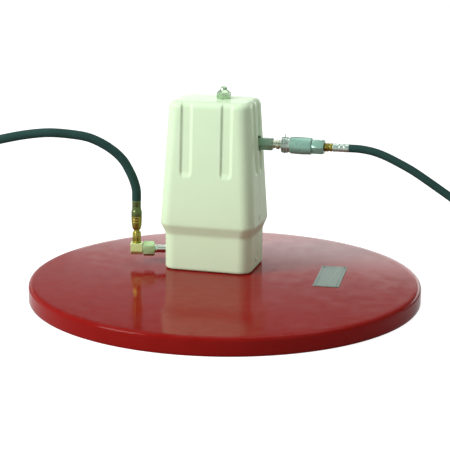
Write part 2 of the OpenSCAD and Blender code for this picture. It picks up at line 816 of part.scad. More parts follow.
module air_piston() color("silver") {
    difference() {
        at_pump(piston_z) cylinder(r = bore_r - 2 * loose_c, h = piston_t, $fn = fine);
        at_pump(piston_z - eps)
            cylinder(r = piston_neck_d / 2, h = piston_t + 2 * eps, $fn = coarse);
        at_pump(piston_z + (piston_t - piston_groove_h) / 2)
            ring(bore_r, bore_r - piston_groove_depth, piston_groove_h);
    }
}
module piston_seal() color("dimgray") {
    at_pump(piston_z + (piston_t - piston_groove_h) / 2)
        ring(bore_r - run_c, bore_r - piston_groove_depth, piston_groove_h);
}
module piston_nut() color("lightgray") {
    difference() {
        at_pump(piston_z + piston_t) hexagon(piston_nut_af, piston_nut_h + nut_lip);
        at_pump(piston_z + piston_t - eps)
            cylinder(r = piston_neck_d / 2, h = piston_nut_h + eps, $fn = coarse);
        at_pump(piston_z + piston_t)
            cylinder(r = nut_hole_d / 2, h = piston_nut_h + nut_lip + eps, $fn = coarse);
    }
}
module muffler_pad() color("lightyellow") {
    difference() {
        at_pump(valve_z) slab(pad_w, pad_depth, end_corner_r, pad_h);
        at_pump(valve_z - eps) slab(valve_w + 2 * pad_c, valve_w + 2 * pad_c, valve_corner_r,
            pad_h + 2 * eps);
        at_pump(valve_z - eps) at_four(tie_x)
            cylinder(r = pad_bolt_r, h = pad_h + 2 * eps, $fn = coarse);
    }
}
module cover_stud() color("silver") {
    at_pump(roof_z - stud_bite)
        cylinder(r = stud_d / 2, h = stud_bite + shell_t + cap_nut_depth, $fn = coarse);
}
module cap_nut() color("silver") {
    difference() {
        union() {
            at_pump(top_z) intersection() {
                hexagon(cap_nut_af, cap_nut_h);
                cylinder(r1 = hex_r(cap_nut_af) + cap_nut_h, r2 = cap_nut_af / 2 - cap_corner_h / 2,
                    h = cap_nut_h + cap_corner_h, $fn = fine);
            }
            at_pump(top_z + cap_nut_h) rotate_extrude($fn = fine) polygon(concat(
                [[0, 0], [cap_nut_af / 2 - cap_corner_h, 0]],
                arc(0, cap_crown_h - cap_tip_r - cap_corner_h, cap_tip_r + cap_corner_h,
                    cap_crown_from, 90, 6)));
        }
        at_pump(top_z - eps) cylinder(r = stud_d / 2, h = cap_nut_depth + eps, $fn = coarse);
    }
}

// Shroud: rings of points up the moulding, each with the same number of points
corner_n = 4;
flute_steep = 2;
flute_soft = 5;
inner_flute_share = 0.8;
function flute(c, w, dep) =
    [[c - w / 2, 0], [c - w / 2 + flute_steep, dep], [c + w / 2 - flute_soft, dep], [c + w / 2, 0]];
function side_points(c, w, dep) = concat(flute(-c, w, dep), flute(c, w, dep));
function quarter(w, d, r, k) =
    [for (i = [0:corner_n]) let (a = 90 * (k - 1) + 90 * i / corner_n,
        sx = k == 0 || k == 1 ? 1 : -1, sy = k == 1 || k == 2 ? 1 : -1)
        [sx * (w / 2 - r) + r * cos(a), sy * (d / 2 - r) + r * sin(a)]];
function ring_points(w, d, r, dep, grow, z) = concat(
    [for (p = side_points(flute_x, flute_w + grow, dep)) [p[0], -d / 2 + p[1], z]],
    [for (p = quarter(w, d, r, 0)) [p[0], p[1], z]],
    [for (p = side_points(side_flute_y, side_flute_w + grow, dep)) [w / 2 - p[1], p[0], z]],
    [for (p = quarter(w, d, r, 1)) [p[0], p[1], z]],
    [for (p = side_points(flute_x, flute_w + grow, dep)) [-p[0], d / 2 - p[1], z]],
    [for (p = quarter(w, d, r, 2)) [p[0], p[1], z]],
    [for (p = side_points(side_flute_y, side_flute_w + grow, dep)) [-w / 2 + p[1], -p[0], z]],
    [for (p = quarter(w, d, r, 3)) [p[0], p[1], z]]);
// Stations up the moulding: height, width, depth, corner radius, flute depth as a share
mid_share = (flute_z - wide_z) / (crown_z - wide_z);
run_share = (flute_z + flute_run - wide_z) / (crown_z - wide_z);
foot_round = 4;
foot_land = 1;
foot_in = shell_t - foot_land;
function mixed(a, b, s) = a + (b - a) * s;
outer_stations = [
    [shroud_z, foot_w - 2 * foot_in, foot_d - 2 * foot_in, corner_r - foot_in, 0],
    [shroud_z + foot_round, foot_w, foot_d, corner_r, 0],
    [ledge_z, foot_w, foot_d, corner_r, 0],
    [wide_z, wide_w, wide_d, corner_r, 0],
    [flute_z, mixed(wide_w, top_w, mid_share), mixed(wide_d, top_d, mid_share), corner_r, 0],
    [flute_z + flute_run, mixed(wide_w, top_w, run_share), mixed(wide_d, top_d, run_share),
        corner_r, 1],
    [crown_z, top_w, top_d, corner_r, 1],
    [crown_z + crown_h * 0.45, top_w - crown_h * 0.3, top_d - crown_h * 0.3,
        corner_r - crown_h * 0.1, 0.7],
    [crown_z + crown_h * 0.8, top_w - crown_h, top_d - crown_h, corner_r - crown_h * 0.3, 0.2],
    [top_z, top_w - crown_h * 2.2, top_d - crown_h * 2.2, corner_r - crown_h * 1.2, 0]];
function inset(s, t, z) = [z, s[1] - 2 * t, s[2] - 2 * t, max(s[3] - t, t), s[4]];
function inner_stations(t) = let (o = outer_stations) [
    inset(o[1], t, shroud_z - eps), inset(o[2], t, ledge_z), inset(o[3], t, wide_z),
    inset(o[4], t, flute_z - t), inset(o[5], t, flute_z + flute_run - t),
    inset(o[6], t, crown_z - t / 2), inset(o[7], t, crown_z + crown_h * 0.45 - t / 2),
    inset(o[9], 0, top_z - t)];
module loft(stations, grow) {
    rings = [for (s = stations) ring_points(s[1], s[2], s[3], flute_depth * s[4], grow, s[0])];
    n = len(rings[0]);
    m = len(rings);
    last = n * m;
    ends = [[0, 0, stations[0][0]], [0, 0, stations[m - 1][0]]];
    points = concat([for (r = rings) each r], ends);
    faces = concat(
        [for (j = [0:m - 2], i = [0:n - 1]) let (a = j * n + i, b = j * n + (i + 1) % n)
            each [[a, b + n, b], [a, a + n, b + n]]],
        [for (i = [0:n - 1]) [last, i, (i + 1) % n]],
        [for (i = [0:n - 1]) [last + 1, (m - 1) * n + (i + 1) % n, (m - 1) * n + i]]);
    polyhedron(points = points, faces = faces, convexity = 4);
}
module shell() {
    difference() {
        at_shroud() loft(outer_stations, 0);
        at_shroud() loft(inner_stations(shell_t), 2 * shell_t * inner_flute_share);
        at_pump(roof_z - eps) cylinder(r = stud_d / 2 + bolt_c, h = shell_t + 2 * eps, $fn = coarse);
        at_inlet(foot_w / 4) cylinder(r = inlet_hole_d / 2, h = foot_w, $fn = fine);
        at_outlet(foot_w / 3) cylinder(r = thread_d / 2 + 2 * eps, h = foot_w, $fn = fine);
        shroud_screw_places() {
            translate([0, 0, -spot_depth])
                cylinder(r = side_screw_head_d / 2 + bolt_c, h = foot_w, $fn = coarse);
            translate([0, 0, -foot_w / 4])
                cylinder(r = side_screw_d / 2, h = foot_w / 4, $fn = coarse);
        }
    }
}
// Children have +Z pointing out of the side wall, from the wall's outer face
module shroud_screw_places() {
    high = wide_z + side_screw_high;
    high_x = mixed(wide_w, top_w, side_screw_high / (crown_z - wide_z)) / 2;
    right_z = shroud_z + side_screw_low;
    left_z = shroud_z + side_screw_low / 2;
    for (p = [[-1, left_z, foot_w / 2], [-1, high, high_x], [1, right_z, foot_w / 2], [1, high, high_x]])
        at_shroud(p[1]) translate([p[0] * p[2], -side_screw_y, 0]) rotate([0, p[0] * 90, 0])
            children();
}
module tongue() {
    t = shell_t + tongue_t;
    z0 = shroud_z + foot_round;
    difference() {
        intersection() {
            at_shroud() loft(inner_stations(shell_t), 2 * shell_t * inner_flute_share);
            at_shroud(z0) translate([-wide_w, -tongue_w, 0])
                cube([2 * wide_w, tongue_w + shell_t, crown_z - z0 - 2 * shell_t]);
        }
        at_shroud() loft(inner_stations(t), 2 * shell_t * inner_flute_share + tongue_t);
        at_inlet(foot_w / 4) cylinder(r = inlet_hole_d / 2, h = foot_w, $fn = fine);
        at_outlet(foot_w / 3) cylinder(r = thread_d / 2 + 2 * eps, h = foot_w, $fn = fine);
        shroud_screw_places() translate([0, 0, -foot_w / 4])
            cylinder(r = side_screw_d / 2, h = foot_w / 4, $fn = coarse);
    }
}
module shroud_front() color("ivory") {
    difference() {
        shell();
        at_shroud() translate([-wide_w, 0, 0]) cube([2 * wide_w, wide_d, 2 * top_z]);
    }
}
module shroud_rear() color("ivory") {
    difference() {
        shell();
        at_shroud() translate([-wide_w, -wide_d, 0]) cube([2 * wide_w, wide_d, 2 * top_z]);
    }
    tongue();
}
module shroud_screws() color("ivory") {
    shroud_screw_places() {
        translate([0, 0, -spot_depth])
            cylinder(r = side_screw_head_d / 2, h = side_screw_head_h, $fn = coarse);
        translate([0, 0, -shell_t - tongue_t - eps])
            cylinder(r = side_screw_d / 2, h = shell_t + tongue_t + eps - spot_depth, $fn = coarse);
    }
}

// Air line
module inlet_adapter() color("darkseagreen") {
    difference() {
        union() {
            at_inlet(end_w / 2 - inlet_bite)
                cylinder(r = thread_d / 2, h = adapter_hex_x - end_w / 2 + inlet_bite, $fn = fine);
            at_inlet(adapter_hex_x) rotate([0, 0, 30])
                hexagon(adapter_af, adapter_end_x - adapter_hex_x);
        }
        at_inlet(end_w / 2 - inlet_bite - eps)
            cylinder(r = passage_d / 2, h = adapter_end_x - end_w / 2 + inlet_bite, $fn = coarse);
        at_inlet(adapter_end_x - plug_thread_l)
            cylinder(r = plug_thread_d / 2, h = plug_thread_l + eps, $fn = coarse);
    }
}
module coupler_plug() color("silver") {
    ball_x = lock_ball_x - plug_groove_l / 2;
    difference() {
        union() {
            at_inlet(adapter_end_x - plug_thread_l)
                cylinder(r = plug_thread_d / 2, h = plug_thread_l + plug_collar_x - adapter_end_x
                    - plug_collar_l / 2, $fn = fine);
            at_inlet(plug_collar_x - plug_collar_l)
                cylinder(r = plug_neck_d / 2, h = plug_nose_x - plug_collar_x + plug_collar_l, $fn = fine);
            at_inlet(plug_collar_x) cylinder(r = plug_collar_d / 2, h = plug_collar_l, $fn = fine);
            at_inlet(plug_nose_x)
                cylinder(r = plug_nose_d / 2, h = plug_nose_end - plug_nose_x, $fn = fine);
        }
        at_inlet(ball_x) ring(plug_nose_d / 2 + eps, plug_groove_d / 2, plug_groove_l);
        at_inlet(adapter_end_x - plug_thread_l - eps)
            cylinder(r = plug_bore_d / 2, h = plug_nose_end, $fn = coarse);
    }
}
hex_x = barrel_x + barrel_l;
bulge_r = (pow(barrel_l / 2, 2) + pow(barrel_bulge, 2)) / (2 * barrel_bulge);
bulge_a = asin(barrel_l / 2 / bulge_r);
module coupler_body() color("lightgray") {
    difference() {
        union() {
            at_inlet(plug_nose_x)
                cylinder(r = front_tube_d / 2, h = hex_x - plug_nose_x, $fn = fine);
            at_inlet(barrel_x) rotate_extrude($fn = fine) polygon(concat([[0, 0]],
                arc(coupler_d / 2 - bulge_r, barrel_l / 2, bulge_r, -bulge_a, bulge_a, 8),
                [[0, barrel_l]]));
            at_inlet(hex_x) rotate([0, 0, 30]) hexagon(coupler_hex_af, coupler_hex_l);
        }
        at_inlet(barrel_x - eps) ring(spring_room_d / 2, front_tube_d / 2, spring_room_l + eps);
        at_inlet(plug_nose_x - eps)
            cylinder(r = coupler_bore_d / 2, h = plug_nose_end - plug_nose_x + 2 * eps, $fn = fine);
        at_inlet(plug_nose_end)
            cylinder(r = plug_bore_d / 2, h = hex_x + coupler_hex_l - plug_nose_end, $fn = coarse);
        at_inlet(hex_x + coupler_hex_l - stem_bite)
            cylinder(r = plug_thread_d / 2, h = stem_bite + eps, $fn = coarse);
        at_inlet(lock_ball_x) for (i = [0:lock_ball_n - 1]) rotate([0, 0, 45 + 360 * i / lock_ball_n])
            rotate([0, 90, 0]) cylinder(r = lock_ball_d / 2 + run_c, h = front_tube_d, $fn = coarse);
    }
}
lock_ball_r = front_tube_d / 2 + run_c - lock_ball_d / 2;
module lock_balls() color("gainsboro") {
    at_inlet(lock_ball_x) for (i = [0:lock_ball_n - 1]) rotate([0, 0, 45 + 360 * i / lock_ball_n])
        translate([lock_ball_r, 0, 0]) sphere(r = lock_ball_d / 2, $fn = coarse);
}
module coupler_sleeve() color("silver") {
    at_inlet(sleeve_x) {
        ring(sleeve_d / 2, front_tube_d / 2 + 2 * run_c, sleeve_l);
        ring(spring_room_d / 2 - run_c, front_tube_d / 2 + 2 * run_c, sleeve_l + sleeve_tail_l);
    }
}
// Spring wire: a helix swept with a hexagonal section
function helix(r, pitch, turns, n) =
    [for (i = [0:turns * n]) [r * cos(360 * i / n), r * sin(360 * i / n), pitch * i / n]];
module sleeve_spring() color("dimgray") {
    r = (front_tube_d + spring_room_d) / 4;
    free = spring_room_l - (sleeve_tail_l - barrel_x + sleeve_x + sleeve_l) - sleeve_travel;
    z = barrel_x + spring_room_l - free + spring_wire_d / 2;
    pitch = (free - spring_wire_d - loose_c) / spring_turns;
    at_inlet(z) tube(helix(r, pitch, spring_turns, spring_rings), spring_wire_d / 2, coil_sides);
}
module sleeve_clip() color("silver") {
    r = sleeve_d / 2 + clip_wire_d / 2;
    at_inlet(sleeve_x + sleeve_l / 2) {
        rotate_extrude($fn = fine) translate([r, 0]) circle(r = clip_wire_d / 2, $fn = 16);
        rotate([0, -90, 0]) translate([0, 0, r]) cylinder(r = clip_wire_d / 2, h = clip_tail_l, $fn = 16);
    }
}
module air_stem() color("darkgoldenrod") {
    x0 = hex_x + coupler_hex_l;
    difference() {
        union() {
            at_inlet(x0 - stem_bite) cylinder(r = plug_thread_d / 2, h = stem_bite, $fn = fine);
            at_inlet(x0) rotate([0, 0, 30]) hexagon(stem_hex_af, stem_hex_l);
            at_inlet(x0 + stem_hex_l) cylinder(r = air_ferrule_d / 2, h = stem_ring_l, $fn = fine);
        }
        at_inlet(x0 - stem_bite - eps)
            cylinder(r = stem_bore_d / 2, h = stem_bite + stem_hex_l + stem_ring_l + 2 * eps, $fn = coarse);
        at_inlet(x0 + stem_hex_l + stem_ring_l / 3)
            ring(air_ferrule_d, air_ferrule_d / 2 - eps, stem_ring_l / 3);
    }
}
module air_ferrule() color("silver") {
    at_inlet(air_end_x - air_ferrule_l) ring(air_ferrule_d / 2, stem_bore_d / 2, air_ferrule_l);
}

// Grease line
module outlet_nipple() color("silver") {
    at_outlet(boss_l - port_thread_l)
        ring(thread_d / 2, tail_bore_d / 2, swivel_x + swivel_thread_l - boss_l + port_thread_l);
}
module swivel_nut() color("lightgray") {
    difference() {
        at_outlet(swivel_x) rotate([0, 0, 30]) hexagon(swivel_af, swivel_l);
        at_outlet(swivel_x - eps)
            cylinder(r = thread_d / 2 + run_c, h = swivel_thread_l + 2 * eps, $fn = fine);
        at_outlet(swivel_x + swivel_thread_l)
            cylinder(r = swivel_room_d / 2, h = swivel_l - swivel_thread_l - swivel_lip, $fn = fine);
        at_outlet(swivel_x) cylinder(r = tail_d / 2 + 2 * run_c, h = swivel_l + eps, $fn = fine);
    }
}
elbow_face = elbow_x - elbow_w / 2;
module elbow() color("lightgray") {
    tail_x = swivel_x + swivel_thread_l;
    difference() {
        union() {
            at_outlet(elbow_face) translate([0, 0, elbow_w / 2]) elbow_block();
            at_outlet(tail_x) cylinder(r = tail_d / 2, h = elbow_x - tail_x, $fn = fine);
            at_outlet(tail_x) cylinder(r = tail_collar_d / 2, h = tail_collar_l, $fn = fine);
        }
        at_outlet(tail_x - eps) cylinder(r = tail_bore_d / 2, h = elbow_x - tail_x + eps, $fn = coarse);
        stem_place(-elbow_w / 2) cylinder(r = tail_bore_d / 2, h = elbow_w / 2, $fn = coarse);
        stem_place(-grease_stem_bite)
            cylinder(r = grease_stem_d / 2, h = grease_stem_bite + eps, $fn = coarse);
    }
}
module elbow_block() {
    c = elbow_w - 2 * elbow_chamfer;
    intersection() {
        cube([elbow_w, elbow_w, elbow_w], center = true);
        rotate([0, 0, 45]) cube([c * sqrt(2) + elbow_chamfer, c * sqrt(2) + elbow_chamfer, elbow_w],
            center = true);
    }
}
// Children stand on the elbow's top face, at the place of the upright stem
module stem_place(z) {
    at_pump(outlet_z + elbow_w / 2 + z) rotate([0, 0, 180 + outlet_turn])
        translate([elbow_x, 0, 0]) children();
}
module grease_stem() color("darkgoldenrod") {
    h1 = grease_hex_h + grease_neck_h;
    difference() {
        union() {
            stem_place(-grease_stem_bite) cylinder(r = grease_stem_d / 2, h = grease_stem_bite, $fn = fine);
            stem_place(0) rotate([0, 0, 30]) hexagon(grease_hex_af, grease_hex_h);
            stem_place(grease_hex_h) cylinder(r = grease_neck_d / 2, h = grease_neck_h, $fn = fine);
            stem_place(h1) cylinder(r1 = grease_neck_d / 2 + eps, r2 = grease_shell_d / 2,
                h = grease_shell_h / 2, $fn = fine);
            stem_place(h1 + grease_shell_h / 2)
                cylinder(r = grease_shell_d / 2, h = grease_shell_h / 2, $fn = fine);
        }
        stem_place(-grease_stem_bite - eps)
            cylinder(r = stem_bore_d / 2, h = grease_stem_bite + h1 + grease_shell_h + 2 * eps, $fn = coarse);
    }
}
module grease_ferrule() color("darkolivegreen") {
    z0 = grease_hex_h + grease_neck_h + grease_shell_h;
    difference() {
        union() {
            stem_place(z0) cylinder(r = grease_ferrule_d / 2, h = grease_bead_h, $fn = fine);
            stem_place(z0 + grease_bead_h) cylinder(r1 = grease_ferrule_d / 2,
                r2 = grease_ferrule_top_d / 2, h = grease_bead_h / 2, $fn = fine);
            stem_place(z0) cylinder(r = grease_ferrule_top_d / 2, h = grease_ferrule_h, $fn = fine);
        }
        stem_place(z0 - eps) cylinder(r = stem_bore_d / 2, h = grease_ferrule_h + 2 * eps, $fn = coarse);
    }
}

// Swept tubes: each ring is square to the path and keeps its turn from the last one
function unit(v) = v / norm(v);
function heading(p, i) = let (n = len(p) - 1) unit(p[min(i + 1, n)] - p[max(i - 1, 0)]);
function square_to(v, t) = unit(v - (v * t) * t);
function first_side(t) = square_to(abs(t[2]) > 0.9 ? [1, 0, 0] : [0, 0, 1], t);
function sides(p, i = 0, last = undef) =
    i >= len(p) ? [] :
    let (t = heading(p, i), s = is_undef(last) ? first_side(t) : square_to(last, t))
    concat([s], sides(p, i + 1, s));
module tube(path, r, n) {
    s = sides(path);
    m = len(path);
    rings = [for (i = [0:m - 1]) let (t = heading(path, i), a = s[i], b = cross(t, a))
        each [for (k = [0:n - 1]) path[i] + r * (cos(360 * k / n) * a + sin(360 * k / n) * b)]];
    faces = concat(
        [for (j = [0:m - 2], k = [0:n - 1]) let (a = j * n + k, b = j * n + (k + 1) % n)
            each [[a, b, b + n], [a, b + n, a + n]]],
        [[for (k = [n - 1:-1:0]) k]],
        [[for (k = [0:n - 1]) (m - 1) * n + k]]);
    polyhedron(points = rings, faces = faces, convexity = 8);
}
function steps(p) = [for (i = [1:len(p) - 1]) norm(p[i] - p[i - 1])];
function length(p) = steps(p) * [for (i = [1:len(p) - 1]) 1];
function smooth(s) = s * s * (3 - 2 * s);
function last_of(p) = p[len(p) - 1];
function joined(route, d) = last_of(route) + [coil_r(d), -d, 0];

// A coil starts where a route ends, winds in on the upper layer and out on the lower one
function coil_r(d) = coil_mid_share * d + pitch_of(d) / 2;
function pitch_of(d) = d + coil_gap;
function coil_turns(l, route, d) = (l - length(route) - 2 * d) / (2 * PI * coil_mid_share * d);
function coil_point(q, d, turns) =
    let (half = turns / 2, p = pitch_of(d), r = coil_r(d) - p * (half - abs(half - q)),
        s = min(max((q - half + 0.25) / 0.5, 0), 1))
    [-r * cos(360 * q), -r * sin(360 * q), -p * smooth(s)];
// Coil in its own frame: centre at the origin, start at -X heading -Y, upper layer at height 0
function coil_path(d, turns) =
    let (n = ceil(turns * coil_rings), body = [for (i = [0:n]) coil_point(turns * i / n, d, turns)],
        t1 = unit(body[n] - body[n - 1]))
    concat([body[0] + [0, d, 0]], body,
        [body[n] + d * [t1[0], t1[1], 0] / norm([t1[0], t1[1]])]);
function least_gap(path, d, skip) =
    min([for (i = [0:len(path) - 1 - skip], j = [i + skip:len(path) - 1]) norm(path[i] - path[j])]) - d;

grease_turns = coil_turns(grease_hose_l, grease_route, grease_hose_d);
air_turns = coil_turns(air_hose_l, air_route, air_hose_d);
grease_coil = coil_path(grease_hose_d, grease_turns);
air_coil = coil_path(air_hose_d, air_turns);
echo(grease_gap = least_gap(grease_coil, grease_hose_d, coil_rings / 2), turns = grease_turns);
echo(air_gap = least_gap(air_coil, air_hose_d, coil_rings / 2), turns = air_turns);
function apart(a, b, d) = min([for (p = a, q = b) norm(p - q)]) - d;
function but_last(p, n) = [for (i = [0:len(p) - 1 - n]) p[i]];
function moved(p, v) = [for (q = p) q + v];
echo(grease_route_gap = apart(but_last(grease_route, 3),
    moved(grease_coil, joined(grease_route, grease_hose_d)), grease_hose_d));
echo(air_route_gap = apart(but_last(air_route, 3),
    moved(air_coil, joined(air_route, air_hose_d)), air_hose_d));
echo(grease_bottom = hose_start_z + last_of(grease_route)[2] - pitch_of(grease_hose_d),
    air_bottom = inlet_z + last_of(air_route)[2] - pitch_of(air_hose_d));
echo(grease_route_length = length(grease_route), air_route_length = length(air_route));

// Frames in which the routes are written
module grease_frame() {
    at_pump(hose_start_z) rotate([0, 0, 180 + outlet_turn]) mirror([0, 1, 0])
        translate([elbow_x - grease_route[0][0], 0, 0]) children();
}
module air_frame() {
    at_pump(inlet_z) translate([air_end_x - air_route[0][0], inlet_y, 0]) children();
}
module grease_hose() color("black") {
    grease_frame() tube(grease_route, grease_hose_d / 2, stretch_sides);
}
module grease_hose_coil() color("black") {
    grease_frame() translate(joined(grease_route, grease_hose_d))
        tube(grease_coil, grease_hose_d / 2, coil_sides);
}
module air_hose() color("black") {
    air_frame() tube(air_route, air_hose_d / 2, stretch_sides);
}
module air_hose_coil() color("black") {
    air_frame() translate(joined(air_route, air_hose_d))
        tube(air_coil, air_hose_d / 2, coil_sides);
}
// Strap round a coil's turns, a little past the coil's start
tie_turn = 45;
module coil_tie(d, turns) {
    p = pitch_of(d);
    c = d / 2 + tie_strap_c;
    r_in = coil_r(d) - p * turns / 2 - c;
    w = coil_r(d) + c - r_in;
    h = p + 2 * c;
    rotate([0, 0, 180 + tie_turn]) translate([r_in, -tie_strap_w / 2, -p - c]) difference() {
        translate([-tie_strap_t, 0, -tie_strap_t])
            cube([w + 2 * tie_strap_t, tie_strap_w, h + 2 * tie_strap_t]);
        translate([0, -eps, 0]) cube([w, tie_strap_w + 2 * eps, h]);
    }
}
module grease_hose_tie() color("darkslategray") {
    grease_frame() translate(joined(grease_route, grease_hose_d)) coil_tie(grease_hose_d, grease_turns);
}
module air_hose_tie() color("darkslategray") {
    air_frame() translate(joined(air_route, air_hose_d)) coil_tie(air_hose_d, air_turns);
}
// Ferrule, hexagon and pipe thread at a hose's far end, in line with the last of the coil
module hose_end(path, d) {
    n = len(path) - 1;
    t = path[n] - path[n - 1];
    translate(path[n]) rotate([0, 0, atan2(t[1], t[0])]) rotate([0, 90, 0]) difference() {
        union() {
            cylinder(r = d / 2 + end_ferrule_grow, h = end_ferrule_l, $fn = fine);
            translate([0, 0, end_ferrule_l]) rotate([0, 0, 30]) hexagon(end_hex_af, end_hex_l);
            translate([0, 0, end_ferrule_l + end_hex_l])
                cylinder(r = end_thread_d / 2, h = end_thread_l, $fn = fine);
        }
        translate([0, 0, eps]) cylinder(r = end_bore_d / 2,
            h = end_ferrule_l + end_hex_l + end_thread_l, $fn = coarse);
    }
}
module grease_hose_end() color("silver") {
    grease_frame() translate(joined(grease_route, grease_hose_d)) hose_end(grease_coil, grease_hose_d);
}
module air_hose_end() color("silver") {
    air_frame() translate(joined(air_route, air_hose_d)) hose_end(air_coil, air_hose_d);
}

drum_cover();
cover_seal();
name_plate();
plate_rivets();
flange_gasket();
flange_screws();
outlet_body();
rod_packing();
packing_nut();
pump_tube();
foot_valve_body();
primer_tube();
motor_base();
rod_seal();
air_cylinder();
cylinder_rings();
motor_head();
tie_bolts();
valve_body();
valve_cap();
valve_screws();
cover_stud();
cap_nut();
muffler_pad();
shroud_front();
shroud_rear();
shroud_screws();
outlet_nipple();
elbow();
grease_stem();
grease_ferrule();
grease_hose();
grease_hose_coil();
grease_hose_tie();
grease_hose_end();
inlet_adapter();
coupler_plug();
coupler_body();
lock_balls();
sleeve_spring();
sleeve_clip();
air_stem();
air_ferrule();
air_hose();
air_hose_coil();
air_hose_tie();
air_hose_end();
swivel_nut();
coupler_sleeve();
inlet_check();
plunger_ball();
valve_spool();
air_piston();
piston_seal();
piston_nut();
piston_rod();
connecting_rod();
plunger();
priming_rod();
priming_disc();
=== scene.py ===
"""Looks of the air-operated grease pump: its shroud, drum cover, fittings and hoses."""
import json
import logging
import math
from dataclasses import dataclass, fields
from enum import Enum
from typing import NamedTuple

import bmesh
import bpy
from mathutils import Matrix, Vector


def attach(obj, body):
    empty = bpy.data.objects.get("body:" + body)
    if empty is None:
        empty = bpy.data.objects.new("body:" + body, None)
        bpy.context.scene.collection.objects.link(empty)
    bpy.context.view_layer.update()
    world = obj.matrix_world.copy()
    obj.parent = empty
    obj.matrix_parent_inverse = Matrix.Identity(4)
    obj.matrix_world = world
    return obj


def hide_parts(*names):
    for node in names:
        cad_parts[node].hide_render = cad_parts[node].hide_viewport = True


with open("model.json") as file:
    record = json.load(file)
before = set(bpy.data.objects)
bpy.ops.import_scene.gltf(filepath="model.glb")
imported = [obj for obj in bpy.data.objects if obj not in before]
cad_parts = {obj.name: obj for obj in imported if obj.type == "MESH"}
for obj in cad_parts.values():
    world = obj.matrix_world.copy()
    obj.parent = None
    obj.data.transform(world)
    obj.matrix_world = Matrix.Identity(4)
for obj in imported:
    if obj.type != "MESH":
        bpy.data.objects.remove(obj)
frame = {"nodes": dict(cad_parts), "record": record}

LOG = logging.getLogger("grease_pump")
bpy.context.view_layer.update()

Point = tuple[float, float, float]
Colour = tuple[float, float, float]
Pair = tuple[float, float]
Profile = tuple[Pair, ...]
Socket = bpy.types.NodeSocket
Face = tuple[int, ...]

# Sizes are in millimetres, apart from those of shaders and of the room, which are in metres.
MM = 0.001
RIGHT, BACK, UP = Vector((1, 0, 0)), Vector((0, 1, 0)), Vector((0, 0, 1))
# The axes of pump and shroud from the cover's centre, and the air inlet from the pump's axis.
PUMP = Vector((-25.0, 78.0, 0.0))
SHROUD = Vector((-37.0, 70.0, 0.0))
INLET = Vector((0.0, 10.0, 231.0))
OUTLET_Z = 53.0
OUTLET_TURN = math.radians(195.0)
# The angle from which an edge stays sharp, and how far a hexagon's end lies inside its flats.
SHARP_EDGE = math.radians(38.0)
CORNER_CUT = 0.2


class Body(Enum):
    """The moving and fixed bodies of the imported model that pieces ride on."""

    PUMP = "pump"
    SLEEVE = "coupler_sleeve"
    SWIVEL = "swivel_nut"


class Half(Enum):
    """The two halves of the shroud, by the sign of their side of the parting plane."""

    FRONT = -1
    REAR = 1


def eased(share: float) -> float:
    """Keep a share from 0 to 1, and ease it in and out."""
    share = min(max(share, 0.0), 1.0)
    return share * share * (3 - 2 * share)


# Shader node groups


@dataclass
class Graph:
    """A node tree being built, with short ways to add and join its nodes."""

    tree: bpy.types.NodeTree

    def add(self, kind: str, feeds: dict[int | str, object] | None = None,
            **settings: object) -> bpy.types.Node:
        """Add one node.

        Args:
            kind: Blender's name of the node type.
            feeds: what its inputs take, by index or name: a socket, a number or a tuple.
            settings: attributes of the node.

        Returns:
            The new node.
        """
        node = self.tree.nodes.new(kind)
        for name, value in settings.items():
            setattr(node, name, value)
        for key, value in (feeds or {}).items():
            target = node.inputs[key]
            if isinstance(value, Socket):
                self.join(value, target)
            else:
                target.default_value = (*value, 1.0) if target.type == "RGBA" else value
        return node

    def join(self, source: Socket, target: Socket) -> None:
        """Link an output to an input."""
        self.tree.links.new(source, target)

    def math(self, operation: str, a: object, b: object = 0.0, clamp: bool = False) -> Socket:
        """Work out one of Blender's operations on two numbers or sockets."""
        node = self.add("ShaderNodeMath", {0: a, 1: b}, operation=operation, use_clamp=clamp)
        return node.outputs[0]

    def spread(self, value: Socket, low: float, high: float, to_low: float = 0.0,
               to_high: float = 1.0) -> Socket:
        """Map a value from one range to another, kept inside the second."""
        feeds = dict(enumerate((value, low, high, to_low, to_high)))
        return self.add("ShaderNodeMapRange", feeds).outputs[0]

    def blend(self, share: object, a: object, b: object) -> Socket:
        """Mix two colours, with a share of the second one."""
        return self.add("ShaderNodeMix", {0: share, 6: a, 7: b}, data_type="RGBA").outputs[2]

    def mixed(self, share: Socket, a: Socket, b: Socket) -> Socket:
        """Mix two shaders, with a share of the second one."""
        return self.add("ShaderNodeMixShader", {0: share, 1: a, 2: b}).outputs[0]

    def noise(self, place: Socket, scale: object, detail: object) -> Socket:
        """Add noise that follows the coordinates given."""
        feeds = {"Vector": place, "Scale": scale, "Detail": detail}
        return self.add("ShaderNodeTexNoise", feeds).outputs["Fac"]

    def split(self, vector: Socket) -> bpy.types.bpy_prop_collection:
        """Split a vector, and give the sockets of its parts."""
        return self.add("ShaderNodeSeparateXYZ", {0: vector}).outputs

    def own_place(self) -> Socket:
        """Give the place in the object's own coordinates."""
        return self.add("ShaderNodeTexCoord").outputs["Object"]

    def surface(self, name: str) -> Socket:
        """Give one of the facts about the surface."""
        return self.add("ShaderNodeNewGeometry").outputs[name]


def emptied(owner: bpy.types.Material | bpy.types.World) -> Graph:
    """Switch a material or world to nodes, and empty it.

    Args:
        owner: the material or world.

    Returns:
        Its graph.
    """
    owner.use_nodes = True
    owner.node_tree.nodes.clear()
    return Graph(owner.node_tree)


